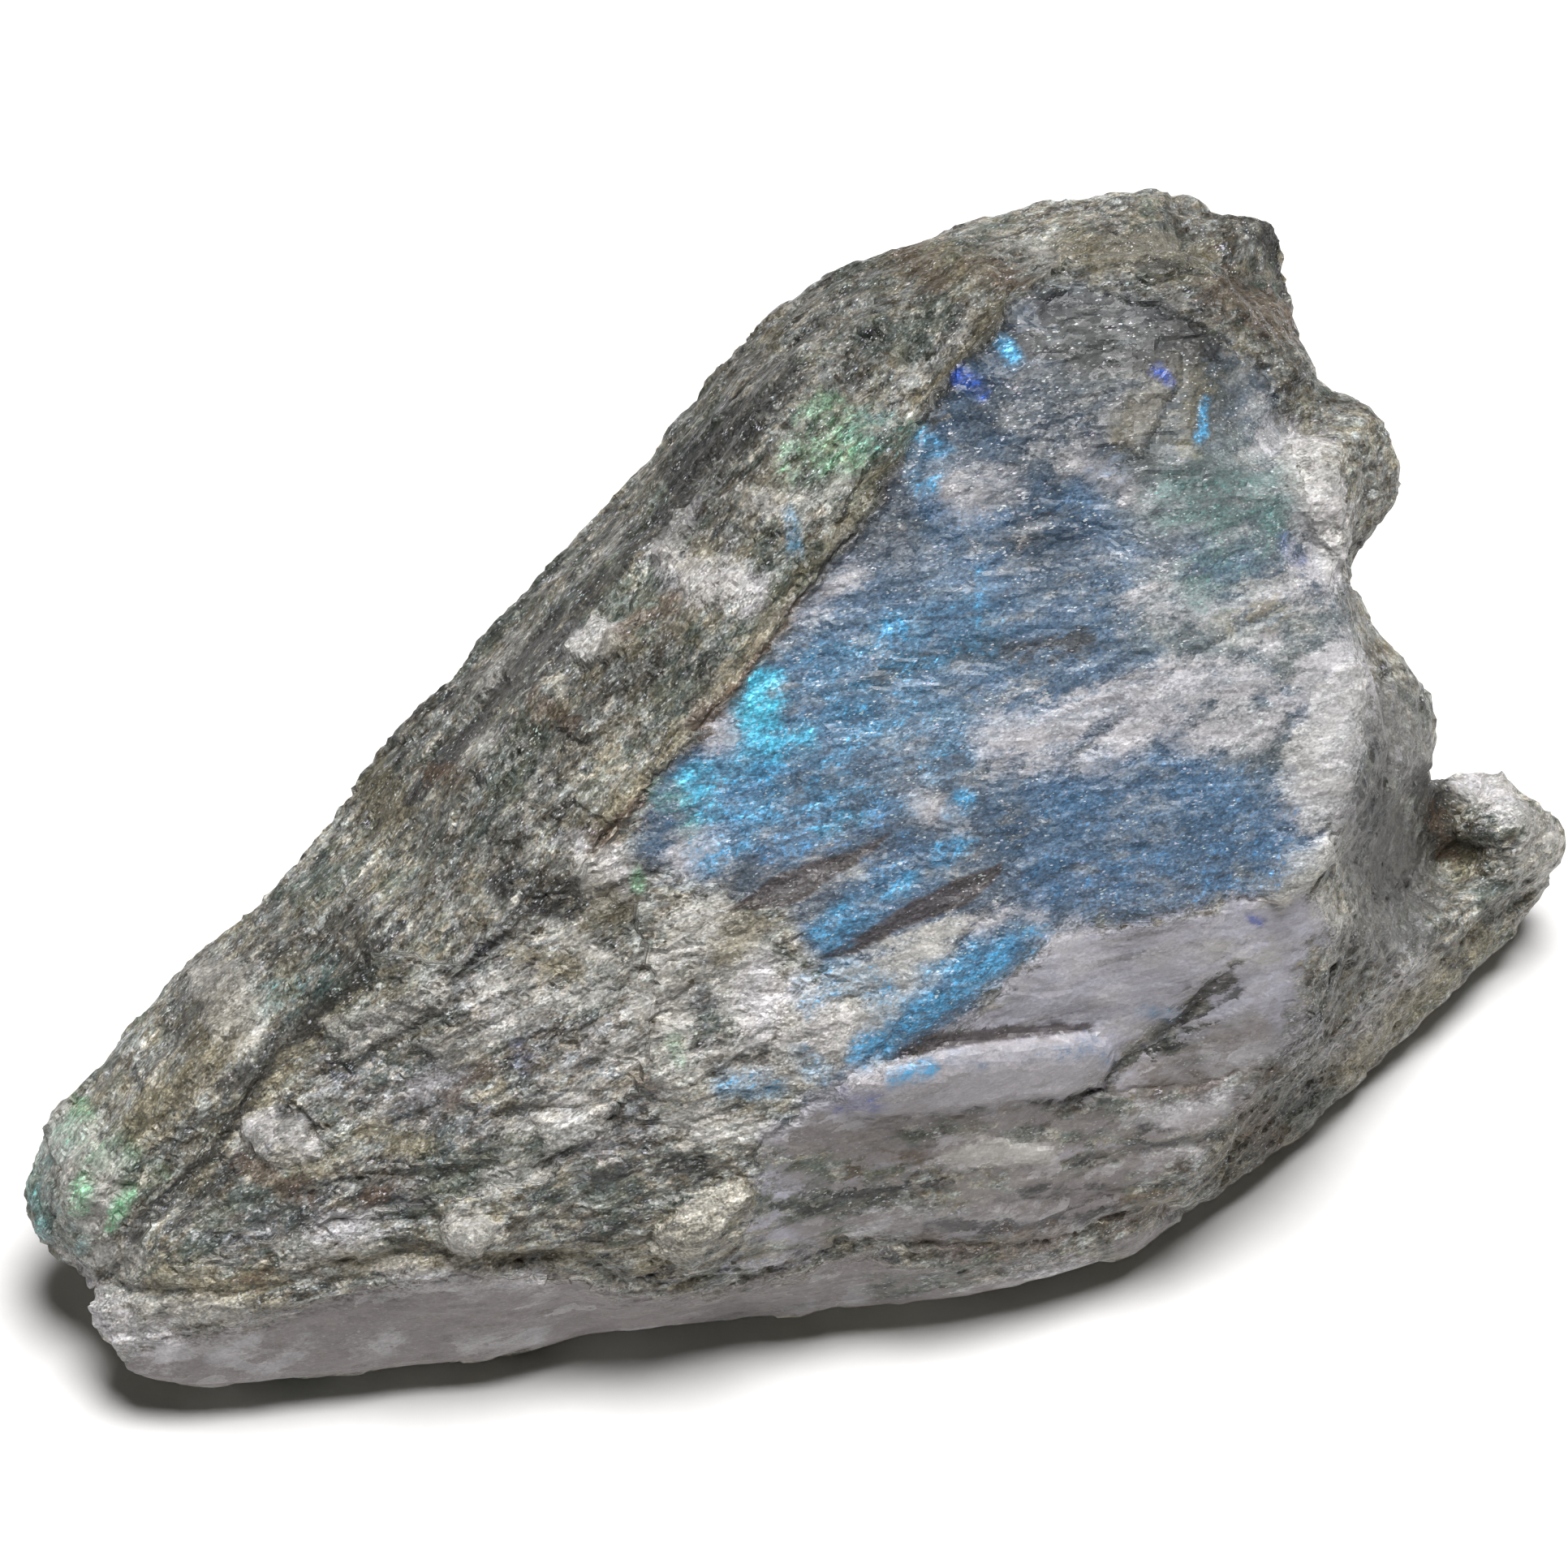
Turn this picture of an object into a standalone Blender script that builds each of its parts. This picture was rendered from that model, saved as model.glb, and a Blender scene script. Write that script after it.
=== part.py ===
"""A rough labradorite chunk: one broken stone, resting on a flat facet of its underside.

The stone is drawn square to its main cleavage face, like a relief map: every break line is a list
of hand-placed points (across, up, out) in millimetres, where "out" is the height above the cleavage
plane. The front relief and the back relief share one outline, which makes a closed blank. The blank
is remeshed evenly, broken up with ledges, grooves, pits and lumps, tipped back to the attitude in
which it rests, and cut flat where it touches the ground.
"""

import math

import bmesh
import bpy
from mathutils import Matrix, Vector, noise
from mathutils.geometry import delaunay_2d_cdt

MM = 0.001

# --- Driving dimensions (millimetres and degrees) -------------------------------------------------
FACE_TILT = 35.0            # the main cleavage face leans back this far from level
FACE_HEIGHT = 25.0          # height of the drawing's origin above the ground
BLANK_VOXEL = 0.60          # evenness of the remeshed blank
STONE_VOXEL = 0.52          # and of the broken stone before it is faceted
FACET_SHARE = 0.133         # share of the triangles left after the stone is faceted
GROUND_BLOCK = 200.0        # side of the block that cuts the foot
FOOT_SNAP = 0.05            # points lower than this after faceting belong to the flat foot

SWELL_SIZE, SWELL_HEIGHT = 9.0, 0.35        # slow swells of the whole surface
SWELL_FALLOFF, SWELL_STEP, SWELL_OCTAVES = 0.9, 2.0, 3
SCOOP_SIZE, SCOOP_DEPTH = 6.0, 2.0          # conchoidal scoops with sharp ridges between them
CHIP_SIZE, CHIP_DEPTH = 2.6, 0.7            # smaller chips of the same kind
KNOB_SIZE, KNOB_HEIGHT = 1.7, 0.4           # granular knobs
SCOOP_MIDDLE = 0.45                         # mean of the cell distance, so that scoops keep the volume
BACK_ROUGHNESS = 1.0                        # share of the scoops, chips and knobs on the hidden side,
FRONT_ROUGHNESS = 0.45                      # on the band, the head and the lower left,
CALM_ROUGHNESS = 0.16                       # and on the cleavage face and the flank below it
EDGE_MARGIN, EDGE_SHARE = 3.0, 0.06         # near the outline the surface keeps its line
EDGE_FULLNESS = 0.08                        # makes up for what remeshing takes off the edges
HIDDEN_TILT, FRONT_TILT = -0.25, 0.25       # out part of the normal on the hidden side and the front

STONE_COLOUR = (0.17, 0.19, 0.20, 1.0)
STONE_ROUGHNESS = 0.55

# --- Break lines: (across, up, out) in millimetres, square to the main cleavage face --------------
# The outline runs clockwise from the narrow left tip.
UPPER_LEFT_EDGE = [
    (-34.8, -18.8, -9.6), (-34.6, -17.1, -9.2), (-33.8, -15.2, -8.8), (-32.7, -14.0, -8.8),
    (-31.8, -13.7, -8.6), (-29.4, -10.8, -8.4), (-26.3, -7.3, -8.2), (-22.6, -4.1, -8.2),
    (-19.4, -1.1, -8.5), (-19.1, 0.0, -8.0), (-18.2, 1.2, -8.0), (-14.9, 4.3, -8.5),
    (-11.8, 8.5, -9.0), (-8.3, 11.8, -9.5), (-6.1, 14.5, -9.5), (-3.6, 17.7, -10.0),
    (-2.8, 19.1, -10.0), (0.0, 21.8, -10.5), (2.7, 23.7, -11.0), (5.3, 24.8, -11.0),
]
HEAD_EDGE = [
    (10.5, 26.3, -11.5), (13.5, 26.9, -12.0), (16.1, 27.2, -12.0), (18.9, 27.0, -12.0),
    (22.4, 26.1, -12.0), (23.7, 25.5, -12.0), (24.4, 24.3, -12.0), (23.9, 23.1, -12.0),
    (22.9, 22.3, -12.0), (23.1, 20.8, -12.0), (23.6, 19.6, -11.0),
]
RIGHT_EDGE = [
    (24.2, 17.6, -7.0), (26.1, 17.0, -6.0), (27.7, 16.1, -6.5), (27.9, 15.3, -7.0),
    (27.7, 13.4, -7.5), (27.0, 12.0, -8.0), (25.7, 10.7, -7.5), (24.8, 10.0, -4.5),
    (25.0, 8.8, -5.0), (26.2, 7.5, -7.0), (27.9, 5.8, -8.0), (29.4, 4.3, -9.0),
    (29.0, 3.0, -9.0), (29.6, 1.1, -10.0),
]
SLAB_EDGE = [
    (30.9, 1.1, -17.8), (32.9, 0.8, -18.8), (34.0, 0.2, -19.2), (35.1, -0.9, -19.6),
    (36.7, -2.9, -20.0), (36.4, -4.1, -23.5), (33.7, -7.6, -22.2), (30.9, -9.9, -20.7),
    (27.8, -12.8, -18.7), (25.3, -15.0, -17.2), (22.6, -17.1, -15.6), (20.3, -18.5, -14.6),
    (18.0, -19.9, -13.6),
]
LOWER_EDGE = [
    (15.9, -21.6, -12.4), (12.3, -22.5, -11.6), (7.9, -23.5, -11.0), (2.3, -23.9, -10.7),
    (-2.7, -24.4, -10.4), (-8.3, -24.8, -10.0), (-13.4, -26.1, -9.2), (-20.7, -26.9, -8.7),
    (-27.2, -27.5, -8.2), (-28.8, -27.4, -8.0), (-30.0, -26.6, -7.8), (-31.2, -25.5, -7.4),
    (-31.9, -24.2, -7.0), (-31.2, -23.2, -7.0),
]
TIP_EDGE = [
    (-30.6, -22.9, -7.6), (-31.8, -23.0, -8.6), (-33.6, -22.1, -9.2), (-34.6, -20.6, -9.6),
]
OUTLINE = UPPER_LEFT_EDGE + HEAD_EDGE + RIGHT_EDGE + SLAB_EDGE + LOWER_EDGE + TIP_EDGE

FACE_TOP = [
    (24.2, 17.6, -7.0), (23.1, 18.6, -4.2), (21.6, 20.2, -4.0), (20.1, 22.0, -3.8),
    (18.2, 23.0, -3.4), (13.9, 23.6, -3.0), (11.7, 23.3, -2.6), (10.3, 21.9, -2.2),
    (8.8, 19.2, -1.8), (7.2, 17.6, -1.5), (5.7, 15.1, -1.2),
]
CRACK = [
    (5.7, 15.1, -1.2), (3.9, 12.4, -1.0), (1.2, 8.9, -0.8), (-1.3, 5.3, -0.6), (-3.5, 2.7, -0.5),
    (-6.3, -0.5, -0.5), (-8.1, -2.3, -0.6), (-9.6, -4.8, -0.8), (-11.8, -5.7, -1.1),
    (-13.8, -8.1, -1.5), (-15.3, -9.7, -1.8),
]
HEAD_FOOT = [
    (20.8, 22.6, -9.5), (19.5, 23.8, -8.5), (17.0, 24.3, -7.5), (14.0, 24.5, -6.5),
    (11.3, 24.2, -5.2), (9.8, 22.5, -3.8), (8.3, 20.0, -2.6), (6.6, 17.9, -1.7), (5.7, 15.1, -1.2),
]
BAND_LIP = [
    (5.7, 15.1, -1.2), (3.2, 12.5, -0.2), (0.4, 9.0, 0.1), (-2.0, 5.5, 0.1), (-4.2, 2.9, 0.0),
    (-7.0, -0.1, -0.2), (-9.0, -2.3, -0.4), (-11.8, -5.7, -1.1),
]
BAND_RIDGE = [
    (16.0, 26.0, -10.0), (9.7, 24.0, -6.5), (4.9, 21.8, -5.0), (1.2, 19.5, -4.2),
    (-1.4, 16.9, -3.4), (-3.7, 13.8, -2.8), (-5.9, 10.2, -2.2), (-9.6, 4.2, -1.8),
    (-13.2, -1.6, -1.8), (-16.1, -4.9, -2.2), (-18.5, -7.3, -2.6), (-20.8, -9.6, -3.0),
    (-22.6, -11.8, -3.5), (-24.6, -14.6, -4.2), (-25.3, -16.2, -4.6), (-27.8, -17.8, -5.0),
    (-29.0, -19.5, -5.4), (-30.6, -22.9, -7.6),
]
FACE_RIGHT = [
    (24.2, 17.6, -7.0), (25.0, 14.7, -3.0), (25.2, 13.6, -2.8), (24.6, 11.8, -2.4),
    (24.8, 10.0, -4.5),
]
FACE_RIM = [
    (24.8, 10.0, -4.5), (24.8, 8.0, -2.4), (25.6, 5.0, -2.2), (26.0, 2.0, -2.3),
    (25.4, -0.7, -2.4), (24.4, -2.8, -2.4), (22.7, -5.2, -2.6),
]
LOBE_RIDGE = [
    (26.2, 7.5, -7.0), (26.8, 4.2, -5.0), (27.7, 1.7, -6.5), (27.1, -0.9, -7.5),
    (25.8, -3.4, -8.0), (24.3, -5.2, -4.2),
]
FLANK_TOP = [
    (22.7, -5.2, -2.6), (19.3, -5.6, -1.8), (16.8, -5.9, -1.3), (13.5, -6.4, -1.0),
    (10.8, -6.1, -0.7), (8.4, -7.9, -0.6), (5.9, -10.3, -0.8), (3.4, -12.5, -1.2),
    (1.2, -14.3, -1.7), (-1.3, -15.7, -2.2), (-4.6, -16.6, -2.8),
]
FLANK_RIGHT = [
    (22.7, -5.2, -2.6), (24.3, -5.2, -4.2), (24.5, -6.3, -4.8), (23.6, -8.6, -5.4),
    (23.6, -10.9, -6.4), (22.8, -12.2, -7.0), (21.1, -14.0, -7.6), (20.0, -15.1, -8.0),
    (19.4, -16.7, -8.6), (18.3, -18.3, -9.4), (17.2, -19.3, -10.2), (15.9, -21.6, -12.4),
]
SEAM = [
    (-30.6, -22.9, -7.6), (-29.3, -23.4, -5.6), (-26.7, -23.2, -4.8), (-24.2, -23.0, -4.3),
    (-22.6, -22.5, -4.0), (-19.2, -21.6, -3.6), (-14.3, -21.6, -3.6), (-10.4, -21.5, -4.0),
    (-7.5, -22.5, -4.8), (-3.8, -22.4, -5.4), (0.0, -21.7, -5.8), (3.4, -20.6, -6.2),
    (6.8, -20.8, -6.9), (10.8, -20.5, -7.8), (14.4, -19.8, -8.6), (17.2, -19.3, -10.2),
]
HOLLOW = [
    (25.8, -3.4, -8.0), (27.2, -4.8, -12.5), (29.1, -4.5, -17.0), (31.2, -3.6, -19.3),
    (30.3, -1.3, -18.8), (29.5, -0.2, -15.0),
]
SLAB_RIM = [
    (36.7, -2.9, -20.0), (34.1, -4.1, -18.0), (32.4, -5.0, -17.3), (30.6, -6.5, -16.2),
    (28.7, -8.3, -14.9), (26.8, -10.0, -13.7), (24.9, -11.8, -12.5), (22.4, -14.3, -11.5),
    (20.1, -16.9, -11.0), (18.0, -19.9, -13.6),
]
SLAB_CREST = [(36.7, -2.9, -20.0), (34.0, -2.2, -17.8), (32.4, -0.8, -17.0), (30.9, 1.1, -17.8)]
FACE_SWELL = [(-6.0, -9.0, -1.0), (2.0, -5.0, 0.0), (9.0, 1.0, 0.5), (16.0, 5.0, 0.4), (19.0, 13.0, -0.6)]
FACE_SHOULDER = [(12.0, 14.0, -0.4), (16.0, 18.5, -1.6), (19.0, 20.5, -2.6)]
TIP_SWELL = [(-32.0, -18.0, -5.6), (-30.0, -15.5, -4.6), (-26.0, -12.0, -4.0)]
LOWER_SWELL = [(-27.0, -20.5, -4.4), (-20.0, -16.0, -2.9), (-12.0, -13.5, -1.9), (-6.0, -12.5, -1.5)]
FRONT_LINES = [
    FACE_TOP, CRACK, HEAD_FOOT, BAND_LIP, BAND_RIDGE, FACE_RIGHT, FACE_RIM, LOBE_RIDGE, FLANK_TOP,
    FLANK_RIGHT, SEAM, HOLLOW, SLAB_RIM, SLAB_CREST, FACE_SWELL, FACE_SHOULDER, TIP_SWELL, LOWER_SWELL,
]

# --- The hidden side, as the stone rests: (x, y, height) in millimetres ----------------------------
FOOT = [                                    # drawn just below ground, where the foot is cut flat
    (-25.0, -13.0, -1.6), (-8.0, -10.5, -1.6), (6.0, -8.5, -1.6), (15.0, -5.5, -1.6),
    (23.0, -0.5, -1.6), (31.0, 8.0, -1.6), (32.5, 12.0, -1.6), (29.0, 15.5, -1.6),
    (20.0, 23.5, -1.6), (8.0, 23.5, -1.6), (-4.0, 15.5, -1.6), (-17.0, 4.5, -1.6), (-27.0, -6.0, -1.6),
]
BACK_RIDGE = [
    (-26.0, 0.0, 5.0), (-20.0, 5.0, 10.5), (-13.5, 13.5, 9.0), (-8.0, 17.0, 14.0), (0.0, 26.5, 13.0),
    (6.0, 29.5, 15.0), (11.0, 32.0, 13.5), (18.0, 31.5, 13.0), (22.0, 27.0, 10.0),
    (23.5, 20.0, 9.0), (27.5, 14.5, 7.0),
]
BACK_BENCH = [
    (-22.0, 1.0, 12.0), (-14.0, 8.0, 14.0), (-7.0, 14.0, 16.5), (1.0, 22.5, 16.5), (9.0, 26.5, 18.5),
    (16.0, 26.0, 16.5), (20.5, 23.5, 14.0),
]
BACK_HOLLOW = [(-15.0, 6.5, 4.5), (-4.0, 17.0, 6.5), (3.0, 25.0, 4.0), (10.0, 25.5, 7.0), (17.0, 27.0, 5.0)]
BACK_LINES = [BACK_RIDGE, BACK_BENCH, BACK_HOLLOW]

# Calm areas of the front: (spine, reach) in millimetres.
CALM_AREAS = [
    ([(-2.0, -4.0), (8.0, 0.0), (16.0, 5.0), (15.0, 14.0)], 10.5),
    ([(-3.0, -19.0), (8.0, -15.0), (18.0, -10.0)], 6.5),
    ([(-27.0, -25.2), (-10.0, -23.8), (14.0, -21.4)], 2.2),
]

# --- Relief that is carved after the blank is made ------------------------------------------------
GROOVES = [                                 # (line, width, depth) in millimetres
    (CRACK, 0.8, 0.5),
    (HEAD_FOOT, 1.0, 0.5),
    ([(-1.4, 16.9), (-3.7, 13.8), (-5.9, 10.2), (-9.6, 4.2)], 0.9, 0.45),
    ([(-18.5, -7.3), (-22.6, -11.8), (-25.3, -16.2), (-30.7, -22.8)], 1.2, 0.7),
    ([(-29.3, -23.0), (-22.6, -22.1), (-14.3, -21.2), (-7.5, -22.1), (0.0, -21.3), (14.4, -19.5)], 0.8, 0.45),
    ([(4.9, -12.0), (8.9, -11.1), (14.2, -10.9)], 1.0, 0.7),
    ([(19.5, -9.6), (15.5, -12.7), (10.6, -16.0)], 1.1, 0.5),
    ([(9.0, -3.0), (6.6, -6.6), (2.0, -12.4), (-4.4, -19.5)], 0.8, 0.25),
    ([(35.0, -5.0), (30.0, -8.2), (24.5, -13.3), (20.6, -17.3)], 0.8, 0.4),
]
RIDGES = [                                  # (line, width, height) in millimetres
    ([(3.6, -13.3), (8.5, -12.0), (13.6, -11.7)], 1.5, 0.55),
    ([(24.4, -2.9), (21.8, -5.0)], 1.1, 0.35),
    ([(15.2, 17.6), (12.6, 13.4)], 1.2, 0.35),
    ([(18.3, 19.0), (17.9, 14.8)], 1.0, 0.3),
]
LUMPS = [                                   # (across, up, radius, height) in millimetres
    (-3.9, -19.6, 1.9, 1.3), (-1.8, -18.6, 1.2, 0.7), (-14.1, -20.0, 1.3, 0.7),
    (-22.8, -15.8, 1.8, 0.5), (7.3, 12.7, 2.2, 0.35), (24.2, 1.2, 1.6, 0.3), (24.6, 12.5, 1.8, 0.4),
    (-7.6, 6.6, 1.5, 0.5), (-9.8, -3.6, 1.2, 0.5), (-30.0, -17.5, 2.2, 0.4), (33.5, -1.5, 2.0, 0.6),
]
PITS = [(-9.5, -11.6, 0.55, 0.7), (-8.1, -11.6, 0.45, 0.6), (-29.3, -17.8, 0.5, 0.5), (31.0, -3.6, 1.6, 1.0)]


def resting_matrix():
    """From the drawing's frame (across, up, out) to the frame in which the stone rests."""
    return Matrix.Translation((0.0, 0.0, FACE_HEIGHT * MM)) @ Matrix.Rotation(
        math.radians(FACE_TILT), 4, "X")


def in_metres(point):
    return Vector(point) * MM


def relief_faces(outline, lines):
    """Triangulate an outline and the break lines inside it; returns points and triangles."""
    corners, places, edges = [], {}, []
    for line in [outline + outline[:1]] + lines:
        ids = []
        for point in line:
            key = (round(point[0], 5), round(point[1], 5))
            if key not in places:
                places[key] = len(corners)
                corners.append(point)
            ids.append(places[key])
        edges += list(zip(ids[:-1], ids[1:]))
    flat = [Vector(corner[:2]) for corner in corners]
    rim = list(range(len(outline)))
    _, _, faces, source, _, _ = delaunay_2d_cdt(flat, edges, [rim], 1, 1e-6, True)
    order = [ids[0] for ids in source]
    return corners, [[order[i] for i in face] for face in faces]


def make_blank():
    """The closed blank: the front relief and the back relief joined along the outline."""
    to_drawing = resting_matrix().inverted()
    outline = [tuple(in_metres(point)) for point in OUTLINE]
    front = [[tuple(in_metres(point)) for point in line] for line in FRONT_LINES]
    foot = [tuple(to_drawing @ in_metres(point)) for point in FOOT]
    back = [[tuple(to_drawing @ in_metres(point)) for point in line] for line in BACK_LINES]
    back.append(foot + foot[:1])

    bm = bmesh.new()
    for lines, flip in ((front, False), (back, True)):
        corners, faces = relief_faces(outline, lines)
        verts = [bm.verts.new(corner) for corner in corners]
        for face in faces:
            loop = [verts[i] for i in face]
            bm.faces.new(loop[::-1] if flip else loop)
    bmesh.ops.remove_doubles(bm, verts=bm.verts, dist=0.01 * MM)
    bmesh.ops.recalc_face_normals(bm, faces=bm.faces)
    mesh = bpy.data.meshes.new("labradorite_blank")
    bm.to_mesh(mesh)
    bm.free()
    return mesh


def evaluated_mesh(obj):
    """The object's mesh with its modifiers applied."""
    graph = bpy.context.evaluated_depsgraph_get()
    graph.update()
    return bpy.data.meshes.new_from_object(obj.evaluated_get(graph))


def distance_to_line(point, line):
    """Distance in the drawing plane from a point to a polyline."""
    best = math.inf
    for a, b in zip(line[:-1], line[1:]):
        ax, ay = a[0], a[1]
        dx, dy = b[0] - ax, b[1] - ay
        t = ((point[0] - ax) * dx + (point[1] - ay) * dy) / (dx * dx + dy * dy)
        t = min(1.0, max(0.0, t))
        best = min(best, math.hypot(point[0] - ax - t * dx, point[1] - ay - t * dy))
    return best


def bump(distance, width):
    """A smooth bump: one in the middle, and zero from the given width outwards."""
    t = min(1.0, distance / width)
    return (1.0 - t * t) ** 2


def carved(place):
    """Height in millimetres of the named grooves, ridges, lumps and pits at a place on the front."""
    height = 0.0
    for line, width, depth in GROOVES:
        height -= depth * bump(distance_to_line(place, line), width)
    for line, width, rise in RIDGES:
        height += rise * bump(distance_to_line(place, line), width)
    for across, up, radius, rise in LUMPS:
        height += rise * bump(math.hypot(place[0] - across, place[1] - up), radius)
    for across, up, radius, depth in PITS:
        height -= depth * bump(math.hypot(place[0] - across, place[1] - up), radius)
    return height


def broken(place, roughness):
    """Height in millimetres of the swells, scoops, chips and knobs at a place."""
    swell = noise.fractal(place / SWELL_SIZE, SWELL_FALLOFF, SWELL_STEP, SWELL_OCTAVES)
    scoop = noise.voronoi(place / SCOOP_SIZE)[0][0] - SCOOP_MIDDLE
    chip = noise.voronoi(place / CHIP_SIZE)[0][0] - SCOOP_MIDDLE
    knob = noise.noise(place / KNOB_SIZE)
    detail = SCOOP_DEPTH * scoop + CHIP_DEPTH * chip + KNOB_HEIGHT * knob
    return SWELL_HEIGHT * swell + roughness * detail


def roughness_at(place, facing):
    """Share of the broken relief at a place; facing is 1 on the front and 0 on the hidden side."""
    calm = max(bump(distance_to_line(place, spine), reach) for spine, reach in CALM_AREAS)
    calm = min(1.0, 2.0 * calm)
    front = CALM_ROUGHNESS * calm + FRONT_ROUGHNESS * (1.0 - calm)
    return front * facing + BACK_ROUGHNESS * (1.0 - facing)


def break_surface(mesh):
    """Carve the named relief into the front and break up the back and sides."""
    outline = OUTLINE + OUTLINE[:1]
    for vertex, normal in zip(mesh.vertices, [vertex.normal.copy() for vertex in mesh.vertices]):
        place = vertex.co / MM
        facing = min(1.0, max(0.0, (normal.z - HIDDEN_TILT) / (FRONT_TILT - HIDDEN_TILT)))
        inner = min(1.0, distance_to_line(place, outline) / EDGE_MARGIN)
        share = EDGE_SHARE + (1.0 - EDGE_SHARE) * inner
        height = facing * carved(place) + share * broken(place, roughness_at(place, facing))
        height += EDGE_FULLNESS * (1.0 - inner) ** 2
        vertex.co += normal * height * MM


def even_mesh(mesh, voxel):
    """The mesh rebuilt from voxels of even size, as one piece."""
    blank = bpy.data.objects.new("labradorite_blank", mesh)
    bpy.context.scene.collection.objects.link(blank)
    remesh = blank.modifiers.new("even_mesh", "REMESH")
    remesh.mode = "VOXEL"
    remesh.voxel_size = voxel * MM
    result = evaluated_mesh(blank)
    bpy.data.objects.remove(blank)
    return result


def keep_largest(mesh):
    """Drop the crumbs that remeshing leaves beside the stone."""
    bm = bmesh.new()
    bm.from_mesh(mesh)
    unseen, islands = set(bm.verts), []
    while unseen:
        stack = [unseen.pop()]
        island = list(stack)
        while stack:
            for edge in stack.pop().link_edges:
                for vertex in edge.verts:
                    if vertex in unseen:
                        unseen.remove(vertex)
                        stack.append(vertex)
                        island.append(vertex)
        islands.append(island)
    islands.sort(key=len)
    crumbs = [vertex for island in islands[:-1] for vertex in island]
    bmesh.ops.delete(bm, geom=crumbs, context="VERTS")
    bm.to_mesh(mesh)
    bm.free()


def ground_block():
    """A block whose top is the ground, for cutting the foot flat."""
    size = GROUND_BLOCK * MM
    bpy.ops.mesh.primitive_cube_add(size=size, location=(0.0, 0.0, -size / 2))
    block = bpy.context.object
    block.name = "ground_block"
    block.hide_render = True
    block.display_type = "WIRE"
    return block


def faceted(mesh):
    """Tip the stone back to rest, cut its foot flat and thin the mesh out to flat facets."""
    mesh.transform(resting_matrix())
    stone = bpy.data.objects.new("labradorite_faceting", mesh)
    bpy.context.scene.collection.objects.link(stone)
    block = ground_block()
    foot = stone.modifiers.new("flat_foot", "BOOLEAN")
    foot.operation = "DIFFERENCE"
    foot.solver = "EXACT"
    foot.object = block
    thin = stone.modifiers.new("facets", "DECIMATE")
    thin.ratio = FACET_SHARE
    result = evaluated_mesh(stone)
    bpy.data.objects.remove(stone)
    bpy.data.objects.remove(block)
    return result


def settle(mesh):
    """Level the foot exactly and centre the stone on the origin."""
    bm = bmesh.new()
    bm.from_mesh(mesh)
    for vertex in bm.verts:
        if vertex.co.z < FOOT_SNAP * MM:
            vertex.co.z = 0.0
    xs = [vertex.co.x for vertex in bm.verts]
    ys = [vertex.co.y for vertex in bm.verts]
    centre = Vector(((min(xs) + max(xs)) / 2.0, (min(ys) + max(ys)) / 2.0, 0.0))
    bmesh.ops.translate(bm, verts=bm.verts, vec=-centre)
    bmesh.ops.triangulate(bm, faces=[face for face in bm.faces if len(face.verts) > 3])
    bmesh.ops.recalc_face_normals(bm, faces=bm.faces)
    bm.to_mesh(mesh)
    bm.free()


def stone_material():
    """Grey-green feldspar."""
    material = bpy.data.materials.new("labradorite")
    material.use_nodes = True
    shader = material.node_tree.nodes["Principled BSDF"]
    shader.inputs["Base Color"].default_value = STONE_COLOUR
    shader.inputs["Roughness"].default_value = STONE_ROUGHNESS
    material.diffuse_color = STONE_COLOUR
    return material


def make_chunk(collection):
    """The whole stone, as one closed solid."""
    mesh = even_mesh(make_blank(), BLANK_VOXEL)
    break_surface(mesh)
    mesh = even_mesh(mesh, STONE_VOXEL)
    keep_largest(mesh)
    mesh = faceted(mesh)
    settle(mesh)
    mesh.name = "labradorite_chunk"
    mesh.materials.append(stone_material())
    chunk = bpy.data.objects.new("labradorite_chunk", mesh)
    collection.objects.link(chunk)
    return chunk


def main():
    for obj in list(bpy.data.objects):
        bpy.data.objects.remove(obj)
    collection = bpy.data.collections.new("labradorite_chunk")
    bpy.context.scene.collection.children.link(collection)
    make_chunk(collection)


main()
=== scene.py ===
"""Rough labradorite chunk: the broken surface and finish of the stone, and a stage to show it on."""

import math

import bmesh
import bpy
import numpy as np
from mathutils import Matrix, Vector, noise


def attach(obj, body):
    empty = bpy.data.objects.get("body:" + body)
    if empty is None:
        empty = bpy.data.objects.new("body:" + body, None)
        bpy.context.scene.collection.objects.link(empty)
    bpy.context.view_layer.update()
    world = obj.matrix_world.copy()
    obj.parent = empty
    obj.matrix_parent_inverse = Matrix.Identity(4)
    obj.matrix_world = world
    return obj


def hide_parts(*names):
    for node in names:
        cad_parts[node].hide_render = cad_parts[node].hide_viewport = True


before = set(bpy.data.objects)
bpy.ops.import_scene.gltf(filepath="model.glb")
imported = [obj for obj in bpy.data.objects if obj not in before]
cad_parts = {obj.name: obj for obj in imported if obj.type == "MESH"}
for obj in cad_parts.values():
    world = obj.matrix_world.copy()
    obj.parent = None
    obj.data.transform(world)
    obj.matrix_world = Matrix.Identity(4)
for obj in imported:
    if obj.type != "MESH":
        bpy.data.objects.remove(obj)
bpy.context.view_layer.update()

bl_info = {
    "name": "Labradorite Chunk",
    "version": (1, 0, 0),
    "blender": (4, 5, 0),
    "location": "3D View > Sidebar > Labradorite",
    "description": "Breaks up and finishes a rough labradorite chunk, and sets a stage for it",
    "category": "Add Mesh",
}

MM = 0.001
NODE = "labradorite_chunk"

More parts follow.
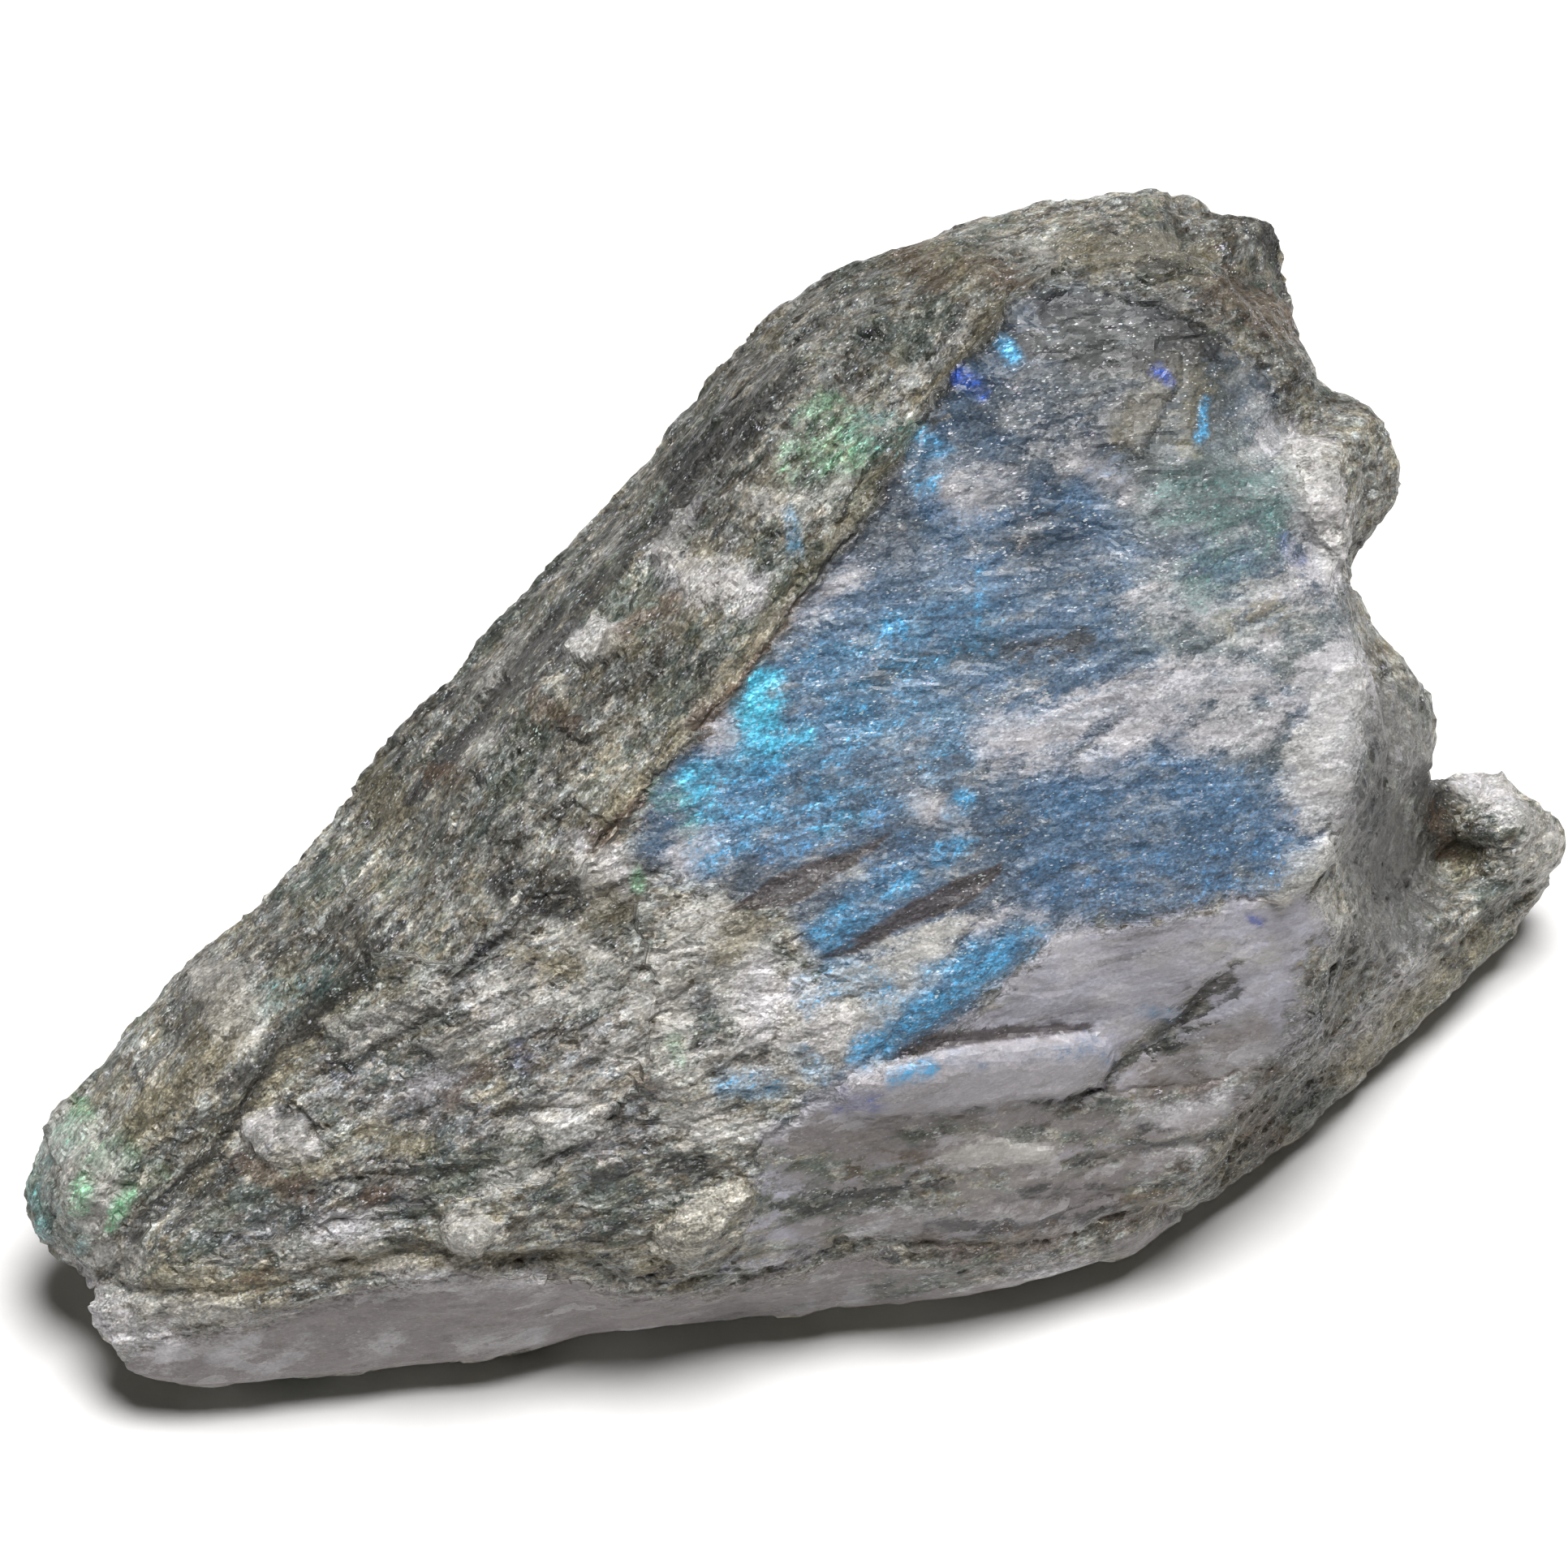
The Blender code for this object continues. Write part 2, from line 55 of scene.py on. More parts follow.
# --- The drawing ----------------------------------------------------------------------------------
# Places on the front of the stone are (across, up) in millimetres on a drawing that lies square to
# the cleavage face, as an eye straight above that face sees them. Its origin is on the face.
FACE_TILT = math.radians(35.0)              # the face leans back this far from level
DRAWING_ORIGIN = (-0.941, -7.253, 25.0)     # in the stone's resting place, in millimetres
FACE_NORMAL = (0.0, -math.sin(FACE_TILT), math.cos(FACE_TILT))
EYE_HEIGHT = 386.0                          # millimetres from the eye to the drawing's origin
FACING_EYE = 0.15                           # least lean towards the eye that makes a face finer

# Outlines of the stone's regions.
FACE = [
    (10.2, 21.6), (8.7, 19.2), (7.1, 17.5), (5.7, 15.0), (3.9, 12.3), (1.2, 9.0), (-1.3, 5.3),
    (-3.5, 2.7), (-6.0, -0.3), (-6.6, -3.2), (-3.8, -4.7), (0.0, -5.4), (1.2, -8.2), (4.0, -9.0),
    (2.6, -12.2), (-0.9, -15.6), (2.2, -13.6), (5.2, -12.2), (7.7, -10.9), (10.6, -8.1), (12.0, -6.6),
    (16.7, -6.0), (19.7, -5.2), (23.2, -4.5), (24.3, -2.7), (25.3, -0.6), (25.8, 2.0), (25.5, 4.9),
    (24.8, 8.1), (23.4, 11.7), (22.5, 14.6), (21.6, 17.9), (19.4, 19.7), (16.7, 21.1), (13.1, 22.2),
]
BAND = [
    (18.1, 22.6), (13.5, 23.2), (10.2, 21.7), (7.1, 17.5), (3.9, 12.3), (-1.3, 5.3), (-6.3, -0.5),
    (-9.6, -4.8), (-13.7, -8.1), (-18.4, -7.4), (-22.4, -11.8), (-25.0, -16.0), (-30.2, -22.4),
    (-42.0, -22.4), (-42.0, 32.0), (30.0, 32.0), (24.0, 22.0),
]
FLANK = [
    (-0.9, -15.6), (2.7, -13.3), (5.2, -12.4), (7.7, -10.9), (10.6, -8.1), (12.0, -6.6), (16.7, -6.0),
    (19.7, -5.2), (23.2, -4.5), (24.2, -6.2), (23.4, -8.5), (23.3, -10.8), (21.5, -12.5), (20.7, -13.8),
    (19.0, -16.3), (16.9, -19.3), (14.2, -19.5), (10.7, -20.6), (6.7, -20.6), (3.3, -20.2), (0.0, -21.4),
    (-2.4, -21.4), (-1.3, -18.5),
]
SLAB_SIDE = [
    (-29.6, -24.9), (-26.0, -24.5), (-22.4, -23.5), (-19.3, -22.5), (-14.8, -21.9), (-9.3, -21.9),
    (-7.1, -22.7), (-3.7, -22.7), (0.0, -21.9), (3.3, -20.8), (6.7, -21.4), (10.7, -21.4), (14.2, -20.3),
    (17.5, -19.0), (20.0, -24.0), (0.0, -29.0), (-28.0, -31.0), (-33.0, -27.0),
]
LEDGE = [
    (2.1, -13.7), (4.2, -12.4), (8.4, -11.6), (13.5, -11.0), (14.6, -11.9), (14.2, -13.5), (10.6, -13.9),
    (7.5, -14.5), (3.6, -14.6),
]
RIM_CRYSTAL = [
    (22.0, -0.6), (21.9, 1.4), (23.2, 3.4), (24.3, 5.3), (25.5, 5.5), (25.7, 2.4), (25.2, -0.2),
    (24.2, -2.0), (22.9, -2.3),
]
MILKY_WEDGE = [
    (1.2, -8.6), (4.4, -7.6), (7.5, -5.6), (8.2, -6.3), (6.6, -9.2), (4.6, -10.9), (1.4, -13.6),
    (-1.0, -13.2), (-0.4, -10.6),
]
LENS_BELOW_FACE = [
    (-2.4, -5.6), (-0.6, -4.2), (1.2, -3.5), (3.0, -3.0), (4.8, -2.1), (4.1, -3.0), (2.5, -3.9),
    (1.2, -4.9), (-0.2, -5.5),
]
LENS_BY_TONGUE = [
    (1.2, -7.9), (3.4, -6.6), (6.0, -5.0), (9.6, -3.5), (9.7, -3.9), (8.2, -5.4), (5.4, -6.4),
    (3.0, -7.6),
]
LEDGE_SHADOW = [
    (4.6, -12.0), (6.3, -11.0), (10.2, -10.7), (13.8, -10.6), (13.8, -11.0), (8.4, -11.5), (5.2, -12.2),
]
# The ledge shadow is painted shadow in the recess above the ledge; it is laid in the dark lens colour
# together with the two lenses.
LENSES_AND_LEDGE_SHADOW = [LENS_BELOW_FACE, LENS_BY_TONGUE, LEDGE_SHADOW]
UPPER_CRACK = [(13.5, 23.0), (10.4, 21.6), (8.7, 19.1), (7.1, 17.4), (5.7, 15.0), (3.9, 12.3), (1.2, 9.0)]
LOWER_CRACK = [
    (1.2, 9.0), (-1.3, 5.3), (-3.5, 2.7), (-6.3, -0.5), (-8.1, -2.3), (-9.6, -4.8), (-11.3, -5.0),
    (-12.6, -6.5), (-15.3, -9.6),
]
TIP_CRACK = [
    (-18.4, -7.4), (-20.6, -9.6), (-22.4, -11.8), (-23.7, -13.1), (-25.0, -16.0), (-27.5, -17.6),
    (-28.6, -19.2), (-30.2, -22.4),
]
SEAM = [
    (-29.4, -22.4), (-25.4, -22.6), (-22.4, -22.4), (-19.3, -21.2), (-14.8, -20.8), (-12.6, -21.2),
    (-9.3, -21.0), (-7.1, -22.2), (-3.7, -22.1), (0.0, -21.4), (3.3, -20.2), (6.7, -20.6), (10.7, -20.6),
    (14.2, -19.5), (17.3, -18.9),
]
FACE_CRACK = [
    (12.0, 0.2), (10.4, -3.2), (8.8, -5.9), (5.9, -9.5), (4.5, -11.7), (1.9, -13.8), (-0.2, -15.3),
    (-3.1, -18.5),
]
FLANK_CRACK = [
    (19.9, -8.1), (18.9, -9.0), (17.4, -10.8), (16.3, -11.7), (14.9, -12.4), (14.0, -13.6), (13.1, -14.0),
]
FLANK_SPLIT = [(21.6, -12.6), (19.9, -12.9), (18.5, -13.3), (16.3, -13.5), (13.1, -13.7), (11.0, -14.4)]
RIM_CRACK = [(24.6, 8.4), (21.2, 7.4), (18.2, 5.6), (16.0, 3.6), (12.6, 0.8)]

CRACK_SHOULDER = [(across - 0.38, up + 0.22) for across, up in UPPER_CRACK[1:] + LOWER_CRACK[1:5]]

# Relief: (line or outline, width, height) in millimetres; a negative height is cut in.
CREASES = [
    (UPPER_CRACK, 0.45, 0.30), (LOWER_CRACK, 0.45, 0.30), (UPPER_CRACK, 0.14, -0.24),
    (LOWER_CRACK, 0.14, -0.26), (TIP_CRACK, 0.9, 0.42), (SEAM, 0.40, -0.32), (FACE_CRACK, 0.20, -0.16),
    (FLANK_CRACK, 0.22, -0.16), (FLANK_SPLIT, 0.16, -0.16), (RIM_CRACK, 0.25, -0.10),
    ([(8.3, 20.0), (6.5, 17.9), (5.0, 15.2), (3.0, 12.3)], 0.30, -0.25),
    ([(-1.4, 16.9), (-3.7, 13.8), (-5.9, 10.2), (-9.6, 4.2)], 0.35, -0.40),
    ([(-12.4, -6.8), (-15.4, -10.2), (-18.2, -12.4)], 0.35, -0.30),
    ([(3.6, -12.7), (8.4, -11.3), (13.8, -10.7)], 0.35, -0.10),
    ([(-3.2, -5.2), (-0.1, -4.5), (1.7, -3.6), (4.4, -2.3)], 0.45, -0.14),
    ([(1.2, -8.3), (3.7, -7.2), (5.9, -5.9), (9.3, -3.9)], 0.40, -0.14),
    ([(2.0, -9.9), (4.6, -9.2), (6.0, -8.9)], 0.35, -0.22),
    ([(-4.0, 13.6), (-0.5, 13.1), (3.0, 13.2)], 0.35, -0.15),
    ([(-1.2, 10.9), (1.4, 11.1), (2.8, 11.6)], 0.30, -0.20),
    ([(12.4, -16.9), (16.0, -16.4), (19.2, -15.6)], 0.25, -0.16),
    ([(9.6, -18.6), (14.0, -18.3), (17.6, -17.6)], 0.30, -0.20),
    ([(-25.2, -18.8), (-19.0, -17.6), (-12.5, -17.0)], 0.35, -0.22),
    ([(-21.5, -19.6), (-15.5, -19.2), (-9.5, -19.4)], 0.30, -0.20),
    ([(-14.5, -14.6), (-9.0, -14.6), (-4.5, -15.6)], 0.30, -0.16),
    ([(26.0, 5.5), (27.2, 2.0), (26.6, -1.2), (25.2, -3.6)], 0.35, -0.30),
    ([(28.6, 6.0), (28.2, 2.4), (29.6, 0.2)], 0.30, -0.22),
    ([(25.6, -5.2), (27.0, -8.0), (24.6, -11.5)], 0.30, -0.20),
]
PLATES = [
    (LEDGE, 0.40, 0.34), (RIM_CRYSTAL, 0.40, 0.16), (MILKY_WEDGE, 0.22, 0.12),
    ([(-5.9, 10.0), (-5.2, 11.4), (-4.2, 12.2), (-3.9, 11.4), (-4.8, 10.2), (-5.4, 9.8)], 0.20, 0.42),
    ([(-5.0, 9.9), (-1.9, 10.1), (-1.4, 8.4), (-3.2, 7.9), (-4.6, 8.6)], 0.22, 0.20),
    ([(21.2, -5.0), (22.2, -3.4), (24.0, -2.3), (24.5, -2.9), (23.4, -4.4), (22.0, -5.3)], 0.25, 0.35),
    ([(22.6, 15.4), (24.7, 15.0), (24.9, 11.0), (24.0, 8.9), (23.2, 11.8), (21.4, 14.3)], 0.30, 0.30),
    ([(-24.0, -14.8), (-21.6, -14.9), (-20.3, -16.4), (-22.6, -17.0), (-24.0, -16.0)], 0.25, 0.35),
    ([(-6.3, -20.6), (-4.6, -18.6), (-2.0, -17.4), (-1.5, -18.3), (-3.2, -20.2), (-4.0, -21.4)], 0.35, 0.45),
    ([(-15.3, -19.4), (-14.2, -18.6), (-12.8, -19.4), (-13.4, -21.0), (-14.9, -21.0)], 0.30, 0.35),
    ([(15.0, 15.0), (15.8, 17.4), (17.6, 19.2), (17.4, 17.8), (16.4, 15.6), (15.6, 14.4)], 0.20, 0.22),
    ([(-9.8, 6.0), (-8.4, 7.4), (-7.2, 6.8), (-7.6, 5.6), (-8.9, 5.2)], 0.22, 0.40),
    ([(-9.6, -3.2), (-8.0, -2.8), (-7.4, -4.4), (-9.0, -5.2)], 0.22, 0.30),
    ([(-16.5, -11.4), (-10.6, -9.0), (-9.2, -9.6), (-14.6, -12.8)], 0.22, 0.20),
    ([(-20.5, -10.6), (-15.0, -8.4), (-14.6, -9.6), (-19.0, -12.2)], 0.22, 0.18),
    ([(-11.0, -14.8), (-8.0, -14.2), (-7.6, -15.6), (-10.6, -16.4)], 0.22, 0.22),
    ([(6.0, -16.9), (8.6, -15.7), (11.8, -16.0), (11.6, -16.9), (8.0, -17.2)], 0.20, 0.16),
    ([(-26.4, -8.4), (-24.2, -7.6), (-23.2, -10.4), (-25.4, -11.6)], 0.30, 0.25),
]
PITS = [
    ((-9.5, -11.6), 0.3, -0.4), ((-8.1, -11.7), 0.25, -0.3), ((-29.2, -17.9), 0.4, -0.5),
    ((26.7, 4.9), 0.3, -0.3),
]

# Finishes: each is a list of (spine, reach) patches in millimetres.
MILKY = [
    ([(17.4, 2.4), (21.2, 2.4)], 0.9), ([(8.8, -6.2), (11.0, -5.7)], 0.45),
    ([(0.6, -9.4), (1.8, -10.8)], 1.1), ([(-1.0, -8.6), (-0.6, -10.4)], 1.0),
    ([(6.0, -1.0), (7.4, -1.6)], 0.5), ([(-8.8, -2.6), (-7.4, -3.8)], 0.6),
    ([(-31.4, -23.6), (-29.4, -24.6), (-27.4, -25.0)], 0.8),
    ([(3.4, -13.0), (8.4, -12.2), (13.6, -11.6)], 0.52),
    ([(18.9, -12.3), (20.8, -11.9), (22.8, -11.2)], 0.4),
    ([(16.2, -14.5), (18.6, -14.1), (20.6, -13.6)], 0.35), ([(16.3, -16.5), (18.1, -16.3)], 0.22),
    ([(14.2, -9.5), (15.3, -9.7)], 0.2), ([(17.1, -7.2), (18.6, -7.7)], 0.2),
    ([(22.6, -9.0), (23.2, -10.6), (22.6, -12.0)], 0.25), ([(23.4, 12.8), (24.2, 10.0)], 0.8),
    ([(22.0, 3.8), (24.2, 3.2)], 0.5), ([(10.0, -20.2), (13.0, -19.6)], 0.12),
    ([(-33.2, -20.9), (-32.0, -21.8), (-30.8, -22.6)], 0.9), ([(-18.6, -25.2), (-17.4, -24.6)], 0.25),
    ([(-14.0, -25.0), (-11.0, -24.6)], 0.14), ([(0.6, -23.4), (3.4, -23.0)], 0.14),
    ([(8.4, -22.6), (10.6, -22.3)], 0.2), ([(12.4, -8.2), (15.4, -8.0), (18.6, -7.4)], 0.16),
    ([(8.6, -9.4), (10.4, -9.0)], 0.18), ([(6.6, 13.4), (8.0, 12.6), (9.8, 13.2)], 0.85),
    ([(9.3, 2.0), (13.1, 2.9), (16.7, 4.2), (20.7, 4.8)], 0.95),
    ([(10.2, 1.2), (13.6, 1.0), (16.3, 2.4)], 0.55), ([(24.6, 4.9), (23.9, 2.4), (23.4, -0.7)], 1.45),
    ([(21.6, 15.2), (23.5, 14.6), (24.0, 11.7), (23.7, 9.6)], 0.9),
    ([(15.6, 8.0), (18.5, 7.8), (21.4, 8.2), (24.0, 8.6)], 0.5),
    ([(-4.6, 9.5), (-3.2, 9.1), (-1.8, 8.6)], 0.95), ([(-8.9, 6.3), (-7.9, 6.6)], 0.6),
    ([(-5.6, 10.2), (-4.2, 11.8)], 0.5), ([(-23.4, -15.4), (-21.4, -16.0)], 0.85),
    ([(-3.2, 3.0), (-2.6, 1.9)], 0.7), ([(-4.4, -3.4), (-3.2, -2.8)], 0.75),
    ([(0.3, 7.6), (1.6, 8.4), (3.0, 9.4)], 0.4), ([(-24.8, -25.2), (-23.6, -24.9)], 0.45),
    ([(-22.9, -25.9), (-21.7, -25.2)], 0.35), ([(-30.0, -24.0), (-29.3, -24.6)], 0.65),
    ([(-28.2, -25.3), (-27.2, -24.9)], 0.5), ([(3.4, -20.0), (5.5, -19.4), (11.3, -19.2)], 0.25),
    ([(16.1, -14.7), (18.0, -14.5), (20.4, -13.9)], 0.35), ([(18.9, -13.0), (21.0, -12.2)], 0.35),
    ([(16.4, -16.9), (18.2, -16.4)], 0.3), ([(10.3, -21.9), (13.2, -21.1)], 0.25),
    ([(11.5, -6.9), (12.6, -6.8)], 0.55), ([(30.6, 0.4), (31.8, -1.0)], 0.6),
    ([(7.0, -14.0), (9.0, -13.9)], 0.2), ([(11.0, -13.6), (12.6, -13.4)], 0.2),
    ([(-17.5, -21.6), (-14.4, -21.9), (-11.0, -22.1)], 0.3),
    ([(13.0, 14.6), (14.6, 13.4), (16.0, 12.6)], 0.5), ([(-9.2, -14.9), (-8.4, -15.4)], 0.55),
    ([(28.2, -8.2), (26.4, -10.2), (24.2, -12.2)], 0.4), ([(20.4, 5.6), (22.0, 6.4)], 0.3),
    ([(-20.2, -19.9), (-18.4, -19.5)], 0.5), ([(-16.0, -13.4), (-14.2, -12.9)], 0.5),
    ([(14.6, 1.9), (17.6, 3.3)], 0.8),
]
SUGARY = [
    ([(-10.2, -6.6), (-8.0, -7.6)], 0.6), ([(-7.0, -12.0), (-3.6, -12.8)], 0.8),
    ([(-4.6, -15.0), (-1.6, -15.4)], 0.7), ([(-9.6, -9.6), (-7.0, -8.4), (-5.6, -9.6)], 0.6),
    ([(-30.4, -20.6), (-29.0, -21.2)], 0.6), ([(-13.0, -17.6), (-11.4, -17.2)], 0.5),
    ([(14.6, -10.5), (15.6, -11.0)], 0.35), ([(18.9, -7.4), (21.4, -7.5)], 0.45),
    ([(20.8, 8.7), (24.0, 8.5)], 0.22), ([(29.4, 0.6), (32.4, -0.8)], 0.8),
    ([(17.1, 20.2), (18.2, 18.2)], 0.4), ([(25.0, -6.4), (23.6, -5.0)], 0.5),
    ([(-31.8, -15.6), (-30.6, -18.4)], 1.6), ([(-30.8, -23.6), (-27.6, -23.6), (-24.8, -23.4)], 0.55),
    ([(-11.6, -15.4), (-8.0, -13.4)], 0.5), ([(31.2, 0.6), (33.8, -2.4)], 0.9),
    ([(-3.6, -6.6), (-1.5, -8.3), (-0.6, -10.2)], 1.7), ([(1.4, -9.6), (4.4, -8.6), (6.9, -7.0)], 0.8),
    ([(0.6, -11.9), (2.6, -11.2), (4.2, -10.2)], 0.9), ([(-2.0, -12.6), (-0.4, -13.0)], 0.9),
    ([(-9.0, -3.6), (-7.9, -4.8)], 0.8), ([(21.7, -4.8), (22.8, -3.6), (24.3, -2.7)], 0.55),
    ([(-25.0, -8.6), (-24.0, -10.8)], 1.1), ([(14.8, 23.7), (17.3, 23.6)], 0.55),
    ([(11.2, 23.8), (12.5, 23.4)], 0.55), ([(-13.9, -19.8), (-14.1, -20.4)], 0.9),
    ([(-12.8, 4.4), (-11.2, 6.2)], 0.6), ([(-14.4, 1.4), (-13.0, 2.2)], 0.5),
    ([(-1.0, 12.6), (2.6, 13.4)], 0.5), ([(-13.4, -9.2), (-11.8, -8.4)], 0.45),
    ([(14.3, 15.8), (15.6, 17.3), (17.2, 19.2)], 0.5),
    ([(-0.2, -5.7), (1.3, -5.1), (2.7, -4.1), (4.4, -3.0)], 0.12),
    ([(3.0, -7.9), (5.5, -6.7), (8.3, -5.7)], 0.12), ([(8.4, -16.2), (11.4, -16.3)], 0.35),
    ([(-5.4, -8.0), (-4.8, -10.4)], 0.9), ([(33.0, -3.2), (34.4, -4.2)], 0.8),
    ([(0.2, -6.6), (1.0, -7.8)], 0.6), ([(-22.0, -20.9), (-18.0, -20.6)], 0.5),
    ([(-8.0, -3.4), (-7.0, -4.6)], 0.6),
]
OLIVE = [
    ([(21.0, -14.8), (22.4, -15.8)], 0.6), ([(29.0, -1.6), (30.0, -3.4)], 0.8), (CRACK_SHOULDER, 0.42),
    ([(-19.4, -9.0), (-22.9, -13.0), (-26.2, -17.4)], 0.5),
    ([(15.1, 15.4), (16.3, 16.9), (17.5, 18.6)], 0.5), ([(18.3, 19.4), (18.6, 16.5), (17.7, 14.9)], 0.5),
    ([(4.8, 23.6), (8.4, 22.6)], 0.9), ([(12.8, 23.6), (18.2, 23.3)], 0.8),
    ([(-27.4, -21.9), (-25.0, -22.2), (-22.8, -21.8)], 0.75), ([(-22.2, -16.6), (-20.7, -17.0)], 0.45),
    ([(-19.5, -21.0), (-13.2, -21.3), (-11.0, -20.9), (-8.6, -21.3)], 0.4),
    ([(-6.0, -21.1), (-4.0, -19.6), (-2.2, -18.2)], 0.8), ([(-18.5, 0.6), (-17.2, -1.2)], 0.9),
    ([(-7.6, 6.2), (-6.6, 6.0)], 0.6), ([(-8.2, -4.9), (-7.4, -5.6)], 0.6),
    ([(20.2, -3.9), (21.9, -4.6), (23.4, -4.0)], 0.35),
    ([(-24.6, -9.8), (-26.0, -12.6), (-28.4, -15.0)], 1.0),
    ([(30.9, -6.8), (28.0, -9.6), (24.8, -13.0)], 0.7), ([(21.0, -14.6), (19.6, -17.0)], 0.8),
    ([(-4.6, 9.8), (-3.4, 10.4)], 0.35), ([(-11.6, -7.2), (-9.4, -8.4)], 0.5),
    ([(-1.6, -6.0), (-2.4, -7.2)], 0.7), ([(-16.2, -16.0), (-18.4, -15.4)], 0.5),
    ([(19.6, 7.2), (21.8, 7.8)], 0.35),
]
IRON = [
    (FLANK_SPLIT[:4], 0.12), ([(14.9, -18.5), (17.1, -18.3)], 0.14),
    ([(24.4, -10.7), (24.5, -10.9)], 0.25), ([(3.0, -17.1), (6.0, -16.6)], 0.2),
    ([(-23.5, -16.9), (-21.9, -17.9)], 0.55), ([(-18.4, -18.2), (-17.9, -18.3)], 0.35),
    ([(28.8, -1.2), (29.7, -3.4)], 0.3), ([(20.6, -14.5), (21.6, -15.8)], 0.8),
    ([(6.3, -20.3), (9.0, -20.6), (12.2, -20.0)], 0.35), ([(14.4, -19.5), (16.8, -18.9)], 0.22),
    ([(19.5, 21.9), (21.9, 20.3)], 0.9), ([(5.4, 23.3), (6.6, 22.4)], 0.6),
    ([(1.0, 8.4), (-1.4, 5.4), (-3.6, 2.6)], 0.30), ([(-6.6, -0.8), (-8.4, -2.8)], 0.35),
    ([(-6.6, -13.0), (-6.2, -12.8)], 0.35), ([(-10.6, 3.4), (-9.4, 2.8)], 0.5),
    ([(-7.2, 6.9), (-4.9, 8.2)], 0.3), ([(-24.2, -22.0), (-22.8, -21.6)], 0.3),
    ([(-14.6, 0.2), (-16.0, 0.7)], 0.35), ([(-13.4, -12.4), (-14.6, -13.8)], 0.4),
    ([(8.0, 22.8), (10.8, 22.2)], 0.3),
]
# Dark streaks of the rock, and painted shade: the crack lines, the hollow on the right, the recess at the
# head and the top of the face, which the light reaches more, are darkened.
SHADE = [
    (FLANK_CRACK, 0.22), ([(16.6, -11.6), (15.0, -12.6), (13.4, -13.9)], 0.2),
    ([(14.9, -16.2), (17.2, -15.9), (19.2, -15.6)], 0.08), ([(15.9, -15.4), (17.2, -15.2)], 0.07),
    ([(12.7, -16.8), (14.9, -16.3)], 0.10), ([(22.3, 23.6), (23.0, 22.7)], 0.7),
    ([(15.6, 22.9), (18.4, 22.8)], 0.2), ([(29.1, -7.2), (30.2, -8.2)], 0.25),
    ([(28.4, 0.2), (29.2, -2.6)], 0.8), ([(11.0, -18.2), (14.0, -17.8)], 0.10), (UPPER_CRACK[1:], 0.10),
    (LOWER_CRACK, 0.12), ([(-18.8, -8.2), (-22.7, -12.4), (-25.4, -16.4), (-29.0, -19.8)], 0.35),
    ([(-21.9, -14.4), (-24.6, -17.2), (-27.4, -19.6)], 0.2),
    ([(7.4, -17.8), (3.0, -18.2), (-0.4, -18.8)], 0.2),
    ([(6.2, -19.6), (10.4, -19.7), (14.6, -18.7)], 0.22),
    ([(-13.0, 2.8), (-7.4, 9.4), (-1.6, 16.2)], 0.35),
    ([(20.0, -9.2), (17.7, -11.1), (15.5, -12.6)], 0.10),
    ([(-24.8, -13.4), (-23.0, -11.9), (-20.0, -9.0)], 0.4), ([(21.6, 24.4), (22.9, 22.9)], 0.9),
    ([(-16.5, -0.5), (-13.2, 3.2), (-9.8, 7.6)], 0.45), ([(-4.8, 13.6), (0.4, 18.2)], 0.7),
    ([(9.8, 19.8), (13.0, 18.9), (17.0, 18.9)], 0.6), ([(12.2, 21.0), (15.6, 20.6), (18.6, 19.4)], 1.0),
    ([(-12.8, -4.4), (-9.8, -5.8)], 0.35), ([(3.8, 4.6), (8.6, 6.0), (13.4, 6.2)], 0.5),
    ([(26.4, 1.4), (26.2, -1.6)], 0.5), ([(-20.8, -17.9), (-16.0, -18.6)], 0.3),
    ([(-8.4, -17.4), (-4.0, -17.0)], 0.2),
]
# Dim places: partly darker rock, and partly painted shade on the underside at the lower right and across the
# top of the face and the head, which the light reaches more.
DIM_AND_PAINTED_SHADE = [
    ([(-17.9, 0.9), (-14.6, 5.3), (-9.6, 11.0), (-4.9, 15.7), (-2.4, 18.6), (1.2, 21.5), (4.8, 23.3)], 1.7),
    ([(9.0, 20.8), (13.0, 19.8), (17.4, 18.0)], 2.8), ([(9.4, 16.4), (15.2, 15.4)], 2.6),
    ([(-17.5, -1.2), (-12.2, -3.5), (-9.0, -5.0)], 0.8),
    ([(-19.3, -5.9), (-17.0, -9.2), (-14.6, -11.7)], 0.9),
    ([(5.0, 13.4), (9.0, 14.6), (11.6, 11.4)], 2.2), ([(26.2, -0.6), (26.4, -3.8)], 0.9),
    ([(25.0, -7.7), (22.6, -12.6), (20.0, -17.4)], 1.3), ([(23.0, -14.4), (20.4, -18.8)], 1.7),
    ([(-14.2, -0.6), (-12.6, -2.2)], 1.2), ([(-23.4, -5.8), (-21.0, -7.8)], 1.3),
    ([(5.4, 22.4), (2.8, 18.4), (0.8, 14.8)], 1.5), ([(3.4, 11.0), (4.8, 10.4)], 1.2),
    ([(-11.0, 1.6), (-8.0, 4.2), (-5.0, 5.6)], 1.5), ([(-6.4, -4.6), (-8.4, -6.6)], 0.6),
    ([(14.0, 23.4), (18.6, 24.4), (22.4, 23.4)], 1.6), ([(20.4, 20.4), (23.4, 17.0)], 1.3),
    ([(-6.4, 11.6), (-2.6, 12.2), (0.6, 17.2)], 1.2), ([(-24.6, -8.6), (-26.2, -10.6)], 1.0),
    ([(7.6, 23.6), (11.0, 22.8)], 0.9), ([(6.5, 21.8), (13.0, 22.0), (20.0, 21.6)], 1.6),
    ([(3.6, 19.4), (8.6, 19.0)], 1.3), ([(-2.5, -24.2), (1.5, -24.0), (5.5, -23.6)], 1.0),
    ([(-10.8, -0.4), (-9.6, -1.4)], 1.0), ([(1.2, 16.2), (4.2, 15.6)], 1.0),
    ([(-1.8, 10.6), (1.4, 10.0)], 0.9), ([(17.6, 13.4), (19.4, 12.4)], 1.0),
]
